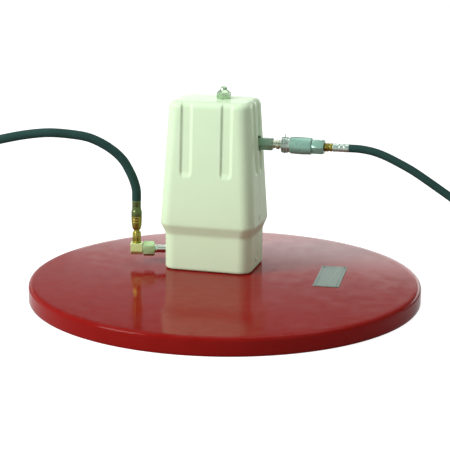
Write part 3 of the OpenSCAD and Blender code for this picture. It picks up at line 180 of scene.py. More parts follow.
@dataclass
class Effect:
    """A shader node group that several materials share."""

    name: str
    numbers: tuple[tuple[str, float], ...] = ()
    outputs: tuple[str, ...] = ("Mask",)

    def open(self) -> tuple[Graph, bpy.types.Node, bpy.types.Node]:
        """Make the empty group with its sockets.

        Returns:
            The graph, its input node and its output node.
        """
        tree = bpy.data.node_groups.new(self.name, "ShaderNodeTree")
        for name, value in self.numbers:
            socket = tree.interface.new_socket(name, in_out="INPUT", socket_type="NodeSocketFloat")
            socket.default_value = value
        for name in self.outputs:
            tree.interface.new_socket(name, in_out="OUTPUT", socket_type="NodeSocketFloat")
        graph = Graph(tree)
        return graph, graph.add("NodeGroupInput"), graph.add("NodeGroupOutput")

    def place(self, graph: Graph, **values: float) -> bpy.types.Node:
        """Put the group in a material.

        Args:
            graph: the material's graph.
            values: values of the group's inputs, by name.

        Returns:
            The group node.
        """
        tree = bpy.data.node_groups.get(self.name) or self.build()
        return graph.add("ShaderNodeGroup", values, node_tree=tree)

    def build(self) -> bpy.types.NodeTree:
        """Build the group's nodes; each effect has its own."""
        raise NotImplementedError


@dataclass
class Grain(Effect):
    """Fine unevenness of a moulded, cast or drawn surface, and a broad variation."""

    name: str = "grain"
    numbers: tuple[tuple[str, float], ...] = (
        ("Scale", 800.0), ("Stretch X", 1.0), ("Stretch Y", 1.0), ("Stretch Z", 1.0),
        ("Detail", 4.0))
    outputs: tuple[str, ...] = ("Height", "Broad")
    broad_scale: float = 22.0
    broad_detail: float = 3.0

    def build(self) -> bpy.types.NodeTree:
        """Build the group.

        Returns:
            The group, which puts out a fine height and a broad variation.
        """
        graph, given, result = self.open()
        place = graph.own_place()
        axes = {axis: given.outputs[f"Stretch {axis}"] for axis in "XYZ"}
        stretch = graph.add("ShaderNodeCombineXYZ", axes).outputs[0]
        scaled = graph.add("ShaderNodeVectorMath", {0: place, 1: stretch}, operation="MULTIPLY")
        fine = graph.noise(scaled.outputs[0], given.outputs["Scale"], given.outputs["Detail"])
        graph.join(fine, result.inputs["Height"])
        broad = graph.noise(place, self.broad_scale, self.broad_detail)
        graph.join(broad, result.inputs["Broad"])
        return graph.tree


@dataclass
class BrokenMask(Effect):
    """A mask that noise breaks up and an amount scales."""

    detail: float = 5.0
    noise_range: Pair = (0.4, 0.62)
    reach: Pair = (0.52, 0.62)

    def whole(self, graph: Graph) -> Socket:
        """Give what the mask follows; each effect has its own."""
        raise NotImplementedError

    def build(self) -> bpy.types.NodeTree:
        """Build the group.

        Returns:
            The group, whose mask is 1 where the effect is strongest.
        """
        graph, given, result = self.open()
        noise = graph.noise(graph.own_place(), given.outputs["Scale"], self.detail)
        both = graph.math("MULTIPLY", graph.spread(self.whole(graph), *self.reach),
                          graph.spread(noise, *self.noise_range))
        graph.join(graph.math("MULTIPLY", both, given.outputs["Amount"], clamp=True),
                   result.inputs["Mask"])
        return graph.tree


@dataclass
class EdgeWear(BrokenMask):
    """Rubbed outer edges."""

    name: str = "edge_wear"
    numbers: tuple[tuple[str, float], ...] = (("Amount", 0.5), ("Scale", 300.0))

    def whole(self, graph: Graph) -> Socket:
        """Give how pointed the surface is."""
        return graph.surface("Pointiness")


@dataclass
class Dust(BrokenMask):
    """Fine dust that settles on surfaces facing up."""

    name: str = "settled_dust"
    numbers: tuple[tuple[str, float], ...] = (("Amount", 0.2), ("Scale", 40.0))
    detail: float = 6.0
    noise_range: Pair = (0.35, 0.75)
    reach: Pair = (0.2, 1.0)

    def whole(self, graph: Graph) -> Socket:
        """Give how far the surface faces up."""
        return graph.split(graph.surface("Normal"))["Z"]


GRAIN = Grain()
WEAR = EdgeWear()
DUST = Dust()
DUST_COLOUR = (0.55, 0.53, 0.48)
NOISE_RANGE = (0.3, 0.7)
LEAST_ROUGHNESS = 0.03


# Finishes

MADE: dict[str, bpy.types.Material] = {}


@dataclass(frozen=True)
class Finish:
    """One finish: the record's slot that it serves, its colours, gloss and effects."""

    name: str
    slot: str
    colour: Colour
    second: Colour
    roughness: float
    metallic: float = 0.0
    specular: float = 0.5
    grain_scale: float = 500.0
    stretch: Point = (1.0, 1.0, 1.0)
    bump: float = 0.02
    bump_depth: float = 0.0002
    wear: float = 0.0
    wear_colour: Colour = (0.5, 0.5, 0.5)
    dust: float = 0.0
    rough_spread: float = 0.08

    def material(self) -> bpy.types.Material:
        """Build the material, or find it if this script made it before.

        Returns:
            The material.
        """
        if self.name in MADE:
            return MADE[self.name]
        made = MADE[self.name] = bpy.data.materials.new(self.name)
        graph = emptied(made)
        stretch = {f"Stretch {axis}": share for axis, share in zip("XYZ", self.stretch)}
        grain = GRAIN.place(graph, Scale=self.grain_scale, **stretch)
        height = grain.outputs["Height"]
        broad = graph.spread(grain.outputs["Broad"], *NOISE_RANGE)
        colour = self.extra_colour(graph, graph.blend(broad, self.colour, self.second))
        for effect, amount, over in ((DUST, self.dust, DUST_COLOUR),
                                     (WEAR, self.wear, self.wear_colour)):
            if amount:
                mask = effect.place(graph, Amount=amount).outputs["Mask"]
                colour = graph.blend(mask, colour, over)
        low = max(self.roughness - self.rough_spread, LEAST_ROUGHNESS)
        rough = graph.spread(height, *NOISE_RANGE, low, self.roughness + self.rough_spread)
        bump = graph.add("ShaderNodeBump", {
            "Strength": self.bump, "Distance": self.bump_depth, "Height": height})
        shader = graph.add("ShaderNodeBsdfPrincipled", {
            "Base Color": colour, "Roughness": rough, "Metallic": self.metallic,
            "Specular IOR Level": self.specular, "Normal": bump.outputs[0]})
        graph.add("ShaderNodeOutputMaterial", {0: shader.outputs[0]})
        return made

    def extra_colour(self, graph: Graph, colour: Socket) -> Socket:
        """Let a finish add its own pattern to the colour so far."""
        return colour


@dataclass(frozen=True)
class PlateFinish(Finish):
    """The blank plate's finish: a metal field with a darker line round it, in metres."""

    centre: Point = (0.161, 0.051, 0.0)
    turn: float = math.radians(4.0)
    half_width: float = 0.0165
    half_length: float = 0.0565
    line: float = 0.0012
    line_share: float = 0.7
    line_colour: Colour = (0.10, 0.14, 0.12)

    def extra_colour(self, graph: Graph, colour: Socket) -> Socket:
        """Draw the line.

        Args:
            graph: the material's graph.
            colour: the metal's colour.

        Returns:
            The colour with the line on it.
        """
        turned = graph.add("ShaderNodeMapping", {
            "Vector": graph.own_place(), "Location": self.centre,
            "Rotation": (0.0, 0.0, self.turn)}, vector_type="TEXTURE")
        parts = graph.split(turned.outputs[0])
        across = graph.math("SUBTRACT", graph.math("ABSOLUTE", parts[0]), self.half_width)
        along = graph.math("SUBTRACT", graph.math("ABSOLUTE", parts[1]), self.half_length)
        outside = graph.math("MAXIMUM", across, along)
        near = graph.math("LESS_THAN", graph.math("ABSOLUTE", outside), self.line)
        share = graph.math("MULTIPLY", near, self.line_share)
        return graph.blend(share, colour, self.line_colour)


@dataclass(frozen=True)
class Palette:
    """Every finish of the pump."""

    cover: Finish = Finish(
        "cover_enamel", "cover_paint", (0.262, 0.007, 0.005), (0.242, 0.006, 0.004), 0.10,
        specular=0.055, grain_scale=45.0, bump=0.007, bump_depth=0.0008, rough_spread=0.03,
        dust=0.02)
    shroud: Finish = Finish(
        "cream_moulding", "shroud_plastic", (0.71, 0.91, 0.63), (0.695, 0.895, 0.61), 0.36,
        specular=0.2, grain_scale=1500.0, bump=0.05, wear=0.1, wear_colour=(0.8, 0.9, 0.72))
    zinc: Finish = Finish(
        "zinc_plate", "zinc_steel", (0.56, 0.66, 0.50), (0.48, 0.57, 0.42), 0.34, 0.9, wear=0.3,
        wear_colour=(0.68, 0.76, 0.64))
    pale: Finish = Finish(
        "pale_chromate", "zinc_steel", (0.72, 0.90, 0.38), (0.66, 0.84, 0.34), 0.34, 0.1, wear=0.2,
        wear_colour=(0.80, 0.88, 0.60))
    green: Finish = Finish(
        "green_chromate", "zinc_steel", (0.40, 0.60, 0.30), (0.35, 0.54, 0.26), 0.34, 0.25,
        wear=0.3, wear_colour=(0.66, 0.78, 0.58))
    mirror: Finish = Finish(
        "bright_nickel", "zinc_steel", (0.66, 0.76, 0.66), (0.60, 0.70, 0.60), 0.14, 1.0, bump=0.01,
        rough_spread=0.03)
    teal: Finish = Finish(
        "blue_chromate", "zinc_steel", (0.26, 0.48, 0.385), (0.225, 0.43, 0.345), 0.28, 0.2,
        wear=0.3, wear_colour=(0.60, 0.74, 0.68))
    bright: Finish = Finish(
        "bright_plate", "bright_steel", (0.45, 0.57, 0.50), (0.38, 0.50, 0.43), 0.24, 0.6,
        bump=0.01, rough_spread=0.04)
    cap: Finish = Finish(
        "green_bright", "bright_steel", (0.43, 0.60, 0.40), (0.36, 0.53, 0.33), 0.2, 0.75,
        bump=0.01, rough_spread=0.04)
    brass: Finish = Finish(
        "yellow_brass", "fitting_brass", (0.32, 0.29, 0.055), (0.25, 0.225, 0.04), 0.26, 0.75,
        wear=0.4, wear_colour=(0.52, 0.48, 0.18))
    olive: Finish = Finish(
        "olive_plate", "olive_steel", (0.125, 0.17, 0.055), (0.095, 0.135, 0.04), 0.34, 0.6,
        wear=0.3, wear_colour=(0.28, 0.30, 0.14))
    adapter: Finish = Finish(
        "dark_plate", "adapter_steel", (0.29, 0.48, 0.34), (0.23, 0.39, 0.27), 0.36, 0.4, wear=0.4,
        wear_colour=(0.42, 0.50, 0.42))
    alloy: Finish = Finish(
        "sand_cast_alloy", "cast_alloy", (0.55, 0.55, 0.54), (0.45, 0.45, 0.44), 0.45, 1.0,
        grain_scale=350.0, bump=0.25, bump_depth=0.0004)
    iron: Finish = Finish(
        "rough_iron", "grey_iron", (0.16, 0.16, 0.16), (0.11, 0.11, 0.11), 0.6, 0.5,
        grain_scale=260.0, bump=0.5, bump_depth=0.0006, wear=0.3)
    hose: Finish = Finish(
        "hose_compound", "hose_rubber", (0.030, 0.076, 0.064), (0.022, 0.058, 0.052), 0.55,
        specular=0.03, grain_scale=700.0, bump=0.2, bump_depth=0.0003)
    seal: Finish = Finish(
        "seal_compound", "seal_rubber", (0.03, 0.03, 0.03), (0.022, 0.022, 0.022), 0.65,
        grain_scale=600.0, bump=0.15)
    leather: Finish = Finish(
        "tanned_leather", "packing_leather", (0.28, 0.16, 0.08), (0.2, 0.11, 0.05), 0.7,
        grain_scale=700.0, bump=0.4, bump_depth=0.0004)
    felt: Finish = Finish(
        "muffler_felt", "felt", (0.66, 0.64, 0.56), (0.56, 0.54, 0.47), 0.92, grain_scale=900.0,
        bump=0.8, bump_depth=0.0008)
    strap: Finish = Finish(
        "nylon_strap", "strap_plastic", (0.03, 0.03, 0.032), (0.024, 0.024, 0.026), 0.5,
        grain_scale=600.0, bump=0.1)
    plate: Finish = PlateFinish(
        "blank_plate", "plate_aluminium", (0.165, 0.24, 0.195), (0.165, 0.245, 0.20), 0.45, 0.5,
        stretch=(1.0, 0.03, 1.0), bump=0.08)

    def by_slot(self) -> dict[str, Finish]:
        """Give the finish of each slot, which is the first one listed for it."""
        listed = [getattr(self, each.name) for each in fields(self)]
        return {finish.slot: finish for finish in reversed(listed)}


PALETTE = Palette()


# Meshes


@dataclass(frozen=True)
class Place:
    """A local frame in the row frame."""

    origin: Vector
    across: Vector
    side: Vector
    along: Vector

    def at(self, x: float, y: float, z: float) -> Vector:
        """Turn a local point in millimetres into a row point in metres."""
        return (self.origin + self.across * x + self.side * y + self.along * z) * MM

    def moved(self, z: float) -> "Place":
        """Give the same frame, further along its axis."""
        return Place(self.origin + self.along * z, self.across, self.side, self.along)


def upright_place(z: float = 0.0) -> Place:
    """Give the pump's own frame at a height."""
    return Place(PUMP + UP * z, RIGHT, BACK, UP)


def inlet_place() -> Place:
    """Give the air line's frame, whose axis runs to the right."""
    return Place(PUMP + INLET, -UP, BACK, RIGHT)


def outlet_place() -> Place:
    """Give the grease outlet's frame, whose axis runs to the left and slightly forward."""
    out = Vector((math.cos(OUTLET_TURN), math.sin(OUTLET_TURN), 0))
    return Place(PUMP + UP * OUTLET_Z, -UP, UP.cross(out), out)


def shade(mesh: bpy.types.Mesh) -> None:
    """Smooth a mesh, and keep its sharp edges.

    Args:
        mesh: the mesh.
    """
    work = bmesh.new()
    work.from_mesh(mesh)
    for face in work.faces:
        face.smooth = True
    for edge in work.edges:
        edge.smooth = len(edge.link_faces) == 2 and edge.calc_face_angle(0.0) < SHARP_EDGE
    work.to_mesh(mesh)
    work.free()


def linked(name: str, data: bpy.types.ID) -> bpy.types.Object:
    """Make an object from its data and link it to the scene.

    Args:
        name: the object's name.
        data: its mesh, curve, camera or lamp.

    Returns:
        The object.
    """
    made = bpy.data.objects.new(name, data)
    bpy.context.scene.collection.objects.link(made)
    return made


def mesh_piece(name: str, points: list[Vector], faces: list[Face],
               finish: Finish) -> bpy.types.Object:
    """Make an object from points and faces, with its normals outwards.

    Args:
        name: the object's name.
        points: its points, in the row frame in metres.
        faces: its faces.
        finish: its finish.

    Returns:
        The object, linked to the scene.
    """
    mesh = bpy.data.meshes.new(name)
    mesh.from_pydata([tuple(p) for p in points], [], faces)
    work = bmesh.new()
    work.from_mesh(mesh)
    bmesh.ops.remove_doubles(work, verts=work.verts, dist=1e-6)
    bmesh.ops.dissolve_degenerate(work, edges=work.edges, dist=1e-7)
    bmesh.ops.recalc_face_normals(work, faces=work.faces)
    work.to_mesh(mesh)
    work.free()
    shade(mesh)
    mesh.materials.append(finish.material())
    return linked(name, mesh)


def settle(piece: bpy.types.Object, finish: Finish, *nodes: str, body: Body = Body.PUMP) -> None:
    """Put a piece on its body, in place of the nodes it stands for, and report it.

    Args:
        piece: the object.
        finish: its finish; not used.
        nodes: the nodes that it stands for.
        body: the body it rides on.
    """
    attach(piece, body.value)
    if nodes:
        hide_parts(*nodes)
    LOG.info("%s rides on %s", piece.name, body.value)


def cut(piece: bpy.types.Object, tools: list[bpy.types.Object]) -> None:
    """Cut tools out of a piece, apply the result and remove the tools.

    Args:
        piece: the object that is cut.
        tools: the objects that cut it.
    """
    for tool in tools:
        step = piece.modifiers.new("cut", "BOOLEAN")
        step.operation, step.solver, step.object = "DIFFERENCE", "EXACT", tool
    bpy.context.view_layer.update()
    graph = bpy.context.evaluated_depsgraph_get()
    mesh = bpy.data.meshes.new_from_object(piece.evaluated_get(graph))
    piece.modifiers.clear()
    old = piece.data
    piece.data = mesh
    bpy.data.meshes.remove(old)
    for tool in tools:
        bpy.data.objects.remove(tool)
    shade(piece.data)


def round_angles(steps: int) -> list[float]:
    """Give even angles round a circle."""
    return [2 * math.pi * k / steps for k in range(steps)]


def circle(r: float, z: float, steps: int) -> list[Vector]:
    """Give the points of a level circle."""
    return [Vector((r * math.cos(a), r * math.sin(a), z)) for a in round_angles(steps)]


def bands(rows: int, steps: int, first: int = 0, closed: bool = False) -> list[Face]:
    """Give the faces between rows of points round an axis.

    Args:
        rows: how many rows there are.
        steps: how many points each row has.
        first: the index of the first row's first point.
        closed: whether the last row joins the first one.

    Returns:
        The faces.
    """
    faces = []
    for j in range(rows if closed else rows - 1):
        a, b = first + j * steps, first + (j + 1) % rows * steps
        for k in range(steps):
            q = (k + 1) % steps
            faces.append((a + k, b + k, b + q, a + q))
    return faces


class Ring(NamedTuple):
    """One station of a turned profile: distance along, radius, and flats if it has them."""

    z: float
    r: float
    flats: float = 0.0


@dataclass
class Turned:
    """A piece turned about an axis, whose stations may be limited by a hexagon."""

    name: str
    place: Place
    rings: list[tuple[float, ...]]
    bore: float = 0.0
    steps: int = 96
    closed: bool = False

    def radius(self, ring: Ring, angle: float) -> float:
        """Give a station's radius at an angle in radians from a flat's middle."""
        turn = (angle + math.pi / 6) % (math.pi / 3) - math.pi / 6
        return min(ring.r, ring.flats / 2 / math.cos(turn)) if ring.flats else ring.r

    def build(self, finish: Finish) -> bpy.types.Object:
        """Build the mesh.

        Args:
            finish: the piece's finish.

        Returns:
            The object.
        """
        rings, n = [Ring(*ring) for ring in self.rings], self.steps
        if self.bore:
            rings = [Ring(rings[0].z, self.bore), *rings, Ring(rings[-1].z, self.bore)]
        points = []
        for ring in rings:
            for a in round_angles(n):
                r = self.radius(ring, a)
                points.append(self.place.at(r * math.cos(a), r * math.sin(a), ring.z))
        hollow = bool(self.bore) or self.closed
        faces = bands(len(rings), n, closed=hollow)
        if not hollow:
            end = (len(rings) - 1) * n
            faces += [tuple(range(n - 1, -1, -1)), tuple(range(end, end + n))]
        return mesh_piece(self.name, points, faces, finish)

    def put(self, finish: Finish, *nodes: str, body: Body = Body.PUMP) -> None:
        """Build the piece and settle it on its body."""
        settle(self.build(finish), finish, *nodes, body=body)


def hexed(start: float, end: float, flats: float, chamfer: float) -> list[Ring]:
    """Give the stations of a hexagon with chamfered corners, from start to end."""
    corner, inside = flats / math.sqrt(3), flats / 2 - CORNER_CUT
    return [Ring(z, r, flats) for z, r in ((start, inside), (start + chamfer, corner),
                                           (end - chamfer, corner), (end, inside))]


def rounded(start: float, end: float, r: float, fillet: float) -> list[Ring]:
    """Give the stations of a cylinder with small rounded ends, from start to end."""
    arc = [(fillet * (1 - math.sin(a)), r - fillet * (1 - math.cos(a)))
           for a in map(math.radians, (0, 30, 60, 90))]
    return [Ring(start + z, x) for z, x in arc[::-1]] + [Ring(end - z, x) for z, x in arc]


def threads(start: float, end: float, r: float, pitch: float = 1.4,
            depth: float = 0.5) -> list[Ring]:
    """Give the stations of a thread, drawn as grooves.

    Args:
        start: where it starts along the axis.
        end: where it ends.
        r: its outer radius.
        pitch: the distance between grooves.
        depth: the grooves' depth.

    Returns:
        Its stations.
    """
    # Places in shares of the pitch, and depths.
    groove = ((-0.2, 0.0), (0.15, depth), (0.3, 0.0))
    rings = [Ring(start, r)]
    z = start + pitch / 2
    while z + pitch / 2 < end:
        rings += [Ring(z + pitch * share, r - deep) for share, deep in groove]
        z += pitch
    return rings + [Ring(end, r)]


def drill(place: Place, r: float, start: float, end: float) -> bpy.types.Object:
    """Make a round tool for cutting a hole, from start to end along an axis."""
    return Turned("tool", place, [(start, r), (end, r)], steps=64).build(PALETTE.shroud)


# The shroud


@dataclass(frozen=True)
class Level:
    """A level of the shroud: height, width, depth, corner radius, and shares of the flutes."""

    z: float
    w: float
    d: float
    r: float
    deep: float = 0.0
    broad: float = 1.0


@dataclass
class Shroud:
    """The two moulded halves over the air motor; a hole is a radius, a start and an end."""

    foot: Pair = (145.0, 107.0)
    wide: Pair = (157.0, 121.0)
    top: Pair = (135.0, 100.0)
    foot_z: float = 29.0
    foot_round: float = 2.6
    foot_rise: float = 5.0
    wide_z: float = 104.0
    top_z: float = 293.0
    crown: float = 10.0
    roof_round: float = 11.0
    roof_corner_share: float = 0.9
    flutes_fade: float = 75.0
    roof_shares: tuple[float, ...] = (0.75, 0.5, 0.25)
    sink_z: float = 180.0
    corner: float = 20.0
    least_corner: float = 4.0
    wall: float = 3.0
    front_flute: Pair = (33.0, 21.0)
    side_flute: Pair = (14.5, 19.0)
    flute_depth: float = 2.8
    flute_z: float = 181.0
    flute_run: float = 12.0
    flute_rise: float = 3.2
    flute_fall: float = 6.0
    flute_least: float = 0.45
    flute_grow: float = 1.6
    waist: Profile = ((60, 0.0), (83, 0.0), (85.5, 0.1), (88, 0.7), (90, 1.7), (100, 9.2),
                      (102.5, 10.8), (104.5, 11.7), (107, 11.8))
    waist_depth: float = 13.6 / 11.8
    body_z: tuple[float, ...] = (125, 150, 172, 181, 182, 183.5, 185, 187, 189, 191, 193,
                                 205, 225, 245, 265, 282, 293)
    seam: float = 0.2
    corner_steps: int = 14
    flat_steps: int = 56
    outlet_hole: Point = (8.9, 40.0, 90.0)
    inlet_hole: Point = (12.5, 40.0, 80.0)
    stud_hole: Point = (5.3, 296.0, 310.0)
    screw_seat: Point = (3.8, -0.9, 6.0)
    screw_hole: Point = (1.75, -8.0, 1.0)
    screw_y: float = -8.0
    # Side, distance out and height of each screw.
    screws: tuple[Point, ...] = ((-1, 72.5, 37), (-1, 77.86, 115), (1, 72.5, 45), (1, 77.86, 115))

    def levels(self) -> list[Level]:
        """Work out the levels.

        Returns:
            The levels from the foot to the roof's edge.
        """
        foot, wide, top = self.foot, self.wide, self.top
        made = []
        for a in range(0, 91, 15):
            inset = self.foot_round * (1 - math.sin(math.radians(a)))
            z = self.foot_z + self.foot_rise * (1 - math.cos(math.radians(a)))
            made.append(Level(z, foot[0] - 2 * inset, foot[1] - 2 * inset, self.corner - inset))
        for z, out in self.waist:
            made.append(Level(z, foot[0] + out, foot[1] + out * self.waist_depth, self.corner))
        for z in self.body_z:
            s = (z - self.wide_z) / (self.top_z - self.wide_z)
            share = min(max((z - self.flute_z) / self.flute_run, 0), 1)
            made.append(Level(z, wide[0] + (top[0] - wide[0]) * s, wide[1] + (top[1] - wide[1]) * s,
                              self.corner, eased(share), math.sqrt(1 - (1 - share) ** 2)))
        for a in range(15, 91, 15):
            inset = self.roof_round * (1 - math.cos(math.radians(a)))
            z = self.top_z + self.crown * math.sin(math.radians(a))
            made.append(Level(z, top[0] - 2 * inset, top[1] - 2 * inset,
                              self.corner - inset * self.roof_corner_share,
                              max(0.0, 1 - (a / self.flutes_fade) ** 2)))
        return made

    def dent(self, x: float, centre: float, width: float, depth: float) -> float:
        """Give the depth at a place along a flat of a flute that is steeper on the left."""
        rise = (x - centre + width / 2) / self.flute_rise
        return depth * eased(min(rise, (centre - x + width / 2) / self.flute_fall))

    def outline(self, level: Level, inset: float, half: Half) -> list[Pair]:
        """Give one half's outline at a level, from one parting edge round to the other.

        Args:
            level: the level.
            inset: how far inside the outer skin it lies.
            half: the half.

        Returns:
            Points from the shroud's axis.
        """
        w, d = level.w / 2 - inset, level.d / 2 - inset
        r, n = max(level.r - inset, self.least_corner), self.flat_steps
        depth, grow = self.flute_depth * level.deep, inset * self.flute_grow
        broad = self.flute_least + (1 - self.flute_least) * level.broad
        (fx, fw), (sy, sw) = self.front_flute, self.side_flute
        fw, sw = fw * broad + grow, sw * broad + grow
        right = []
        for k in range(1, self.corner_steps):
            a = math.radians(270 + 90 * k / self.corner_steps)
            right.append((w - r + r * math.cos(a), r - d + r * math.sin(a)))
        for k in range(n // 2, -1, -1):
            y = -(d - r) * k / (n // 2)
            right.append((w - self.dent(-y, sy, sw, depth), y))
        right[-1] = (right[-1][0], -self.seam)
        front = []
        for k in range(2 * n + 1):
            x = (w - r) * (k / n - 1)
            front.append((x, max(self.dent(x, side * fx, fw, depth) for side in (-1, 1)) - d))
        line = [(-x, y) for x, y in reversed(right)] + front + right
        return [(-x, -y) for x, y in line] if half is Half.REAR else line

    def layers(self, half: Half, inset: float) -> list[list[Vector]]:
        """Give the rows of points up one skin of a half, ending at the middle of the roof.

        Args:
            half: the half.
            inset: how far inside the outer skin it lies.

        Returns:
            The rows, in the row frame in metres.
        """
        run = self.top_z + self.crown - self.sink_z
        rows = []
        for level in self.levels():
            z = level.z - inset * max(level.z - self.sink_z, 0) / run
            rows.append([Vector((x, y, z)) for x, y in self.outline(level, inset, half)])
        edge = rows[-1]
        for s in self.roof_shares:
            rows.append([Vector((p.x * s, p.y * s, p.z)) for p in edge])
        rows.append([Vector((0, self.seam * half.value, p.z)) for p in edge])
        return [[(p + SHROUD) * MM for p in row] for row in rows]

    def half_shell(self, half: Half, name: str) -> bpy.types.Object:
        """Build one half as a closed shell.

        Args:
            half: the half.
            name: the object's name.

        Returns:
            The object.
        """
        outer, inner = self.layers(half, 0.0), self.layers(half, self.wall)
        n, m = len(outer[0]), len(outer)
        points = [p for row in outer + inner for p in row]
        skin = n * m
        faces = []
        for a in (j * n for j in range(m - 1)):
            b = a + n
            for i in range(n - 1):
                faces += [(a + i, a + i + 1, b + i + 1, b + i),
                          (skin + a + i, skin + b + i, skin + b + i + 1, skin + a + i + 1)]
            faces += [(a, b, skin + b, skin + a),
                      (skin + a + n - 1, skin + b + n - 1, b + n - 1, a + n - 1)]
        faces += [(i, i + skin, i + 1 + skin, i + 1) for i in range(n - 1)]
        return mesh_piece(name, points, faces, PALETTE.shroud)

    def screw_tools(self) -> list[bpy.types.Object]:
        """Make the tools for the side screws' flat seats, then those for their holes."""
        places = [Place(SHROUD + Vector((side * x, self.screw_y, z)), UP * -side, BACK,
                        RIGHT * side) for side, x, z in self.screws]
        return [drill(p, *hole) for hole in (self.screw_seat, self.screw_hole) for p in places]

    def build(self) -> None:
        """Build both halves, cut their holes and put them on the pump."""
        front = self.half_shell(Half.FRONT, "shroud_front_shell")
        rear = self.half_shell(Half.REAR, "shroud_rear_shell")
        cut(front, [drill(outlet_place(), *self.outlet_hole), *self.screw_tools()])
        cut(rear, [drill(outlet_place(), *self.outlet_hole),
                   drill(inlet_place(), *self.inlet_hole),
                   drill(upright_place(), *self.stud_hole)])
        settle(front, PALETTE.shroud, "shroud_front")
        settle(rear, PALETTE.shroud, "shroud_rear")


# The drum cover


@dataclass
class DrumCover:
    """The round pressed cover with its turned-down skirt."""

    r: float = 311.0
    height: float = 28.0
    sheet: float = 1.5
    shoulder: float = 7.0
    steps: int = 288
    outer_steps: int = 14
    inner_steps: int = 10
    flats: Pair = (150.0, 298.0)
    rim: Profile = ((0.0, 12.0), (0.0, 6.6), (0.0, 6.2), (0.0, 1.2), (0.5, 0.35), (1.4, 0.0),
                    (2.4, 0.2), (3.0, 1.0), (3.0, 5.6))
    rim_top: float = 6.2
    pump_hole: Point = (23.0, 20.0, 40.0)

    def arc(self, r: float, count: int) -> list[Pair]:
        """Give radius and height of points down the shoulder's arc."""
        angles = [math.radians(90 - 90 * k / count) for k in range(count + 1)]
        return [(self.r - self.shoulder + r * math.cos(a),
                 self.height - self.shoulder + r * math.sin(a)) for a in angles]

    def profile(self) -> list[Pair]:
        """Work out the sheet's profile, out on top and back below.

        Returns:
            Radius and height of each point.
        """
        t = self.sheet
        outer = [(x, self.height) for x in self.flats]
        outer += self.arc(self.shoulder, self.outer_steps)
        rim = [(self.r - x, z) for x, z in self.rim] + [(self.r - t, self.rim_top)]
        inner = self.arc(self.shoulder - t, self.inner_steps)[::-1]
        return outer + rim + inner + [(x, self.height - t) for x in reversed(self.flats)]

    def build(self) -> None:
        """Build the cover, cut the pump's hole and put it on the pump."""
        line = self.profile()
        points = [UP * self.height, UP * (self.height - self.sheet)]
        for r, z in line:
            points += circle(r, z, self.steps)
        first, last = 2, 2 + (len(line) - 1) * self.steps
        faces = bands(len(line), self.steps, first)
        for k in range(self.steps):
            q = (k + 1) % self.steps
            faces += [(0, first + k, first + q), (1, last + q, last + k)]
        cover = mesh_piece("drum_cover_pressing", [p * MM for p in points], faces, PALETTE.cover)
        cut(cover, [drill(upright_place(), *self.pump_hole)])
        settle(cover, PALETTE.cover, "drum_cover")


# Fittings


@dataclass
class TopNut:
    """The domed nut that holds the shroud down."""

    base: float = 303.0
    flats: float = 21.0
    seat_chamfer: float = 0.8
    hex_h: float = 10.9
    chamfer: float = 1.3
    dome: Profile = ((11.3, 9.6), (13.4, 6.9), (13.9, 6.2), (14.5, 5.9), (16.4, 5.6),
                     (17.9, 4.8), (19.0, 3.4), (19.7, 1.7), (19.9, 0.3))

    def build(self) -> None:
        """Build the nut."""
        corner, flat = self.flats / math.sqrt(3), self.flats / 2
        stations = ((0, flat), (self.seat_chamfer, corner), (self.hex_h - self.chamfer, corner),
                    (self.hex_h, flat - CORNER_CUT))
        rings = [*(Ring(z, r, self.flats) for z, r in stations), *self.dome]
        nut = Turned("top_nut", upright_place(self.base), rings)
        nut.put(PALETTE.cap, "cap_nut")


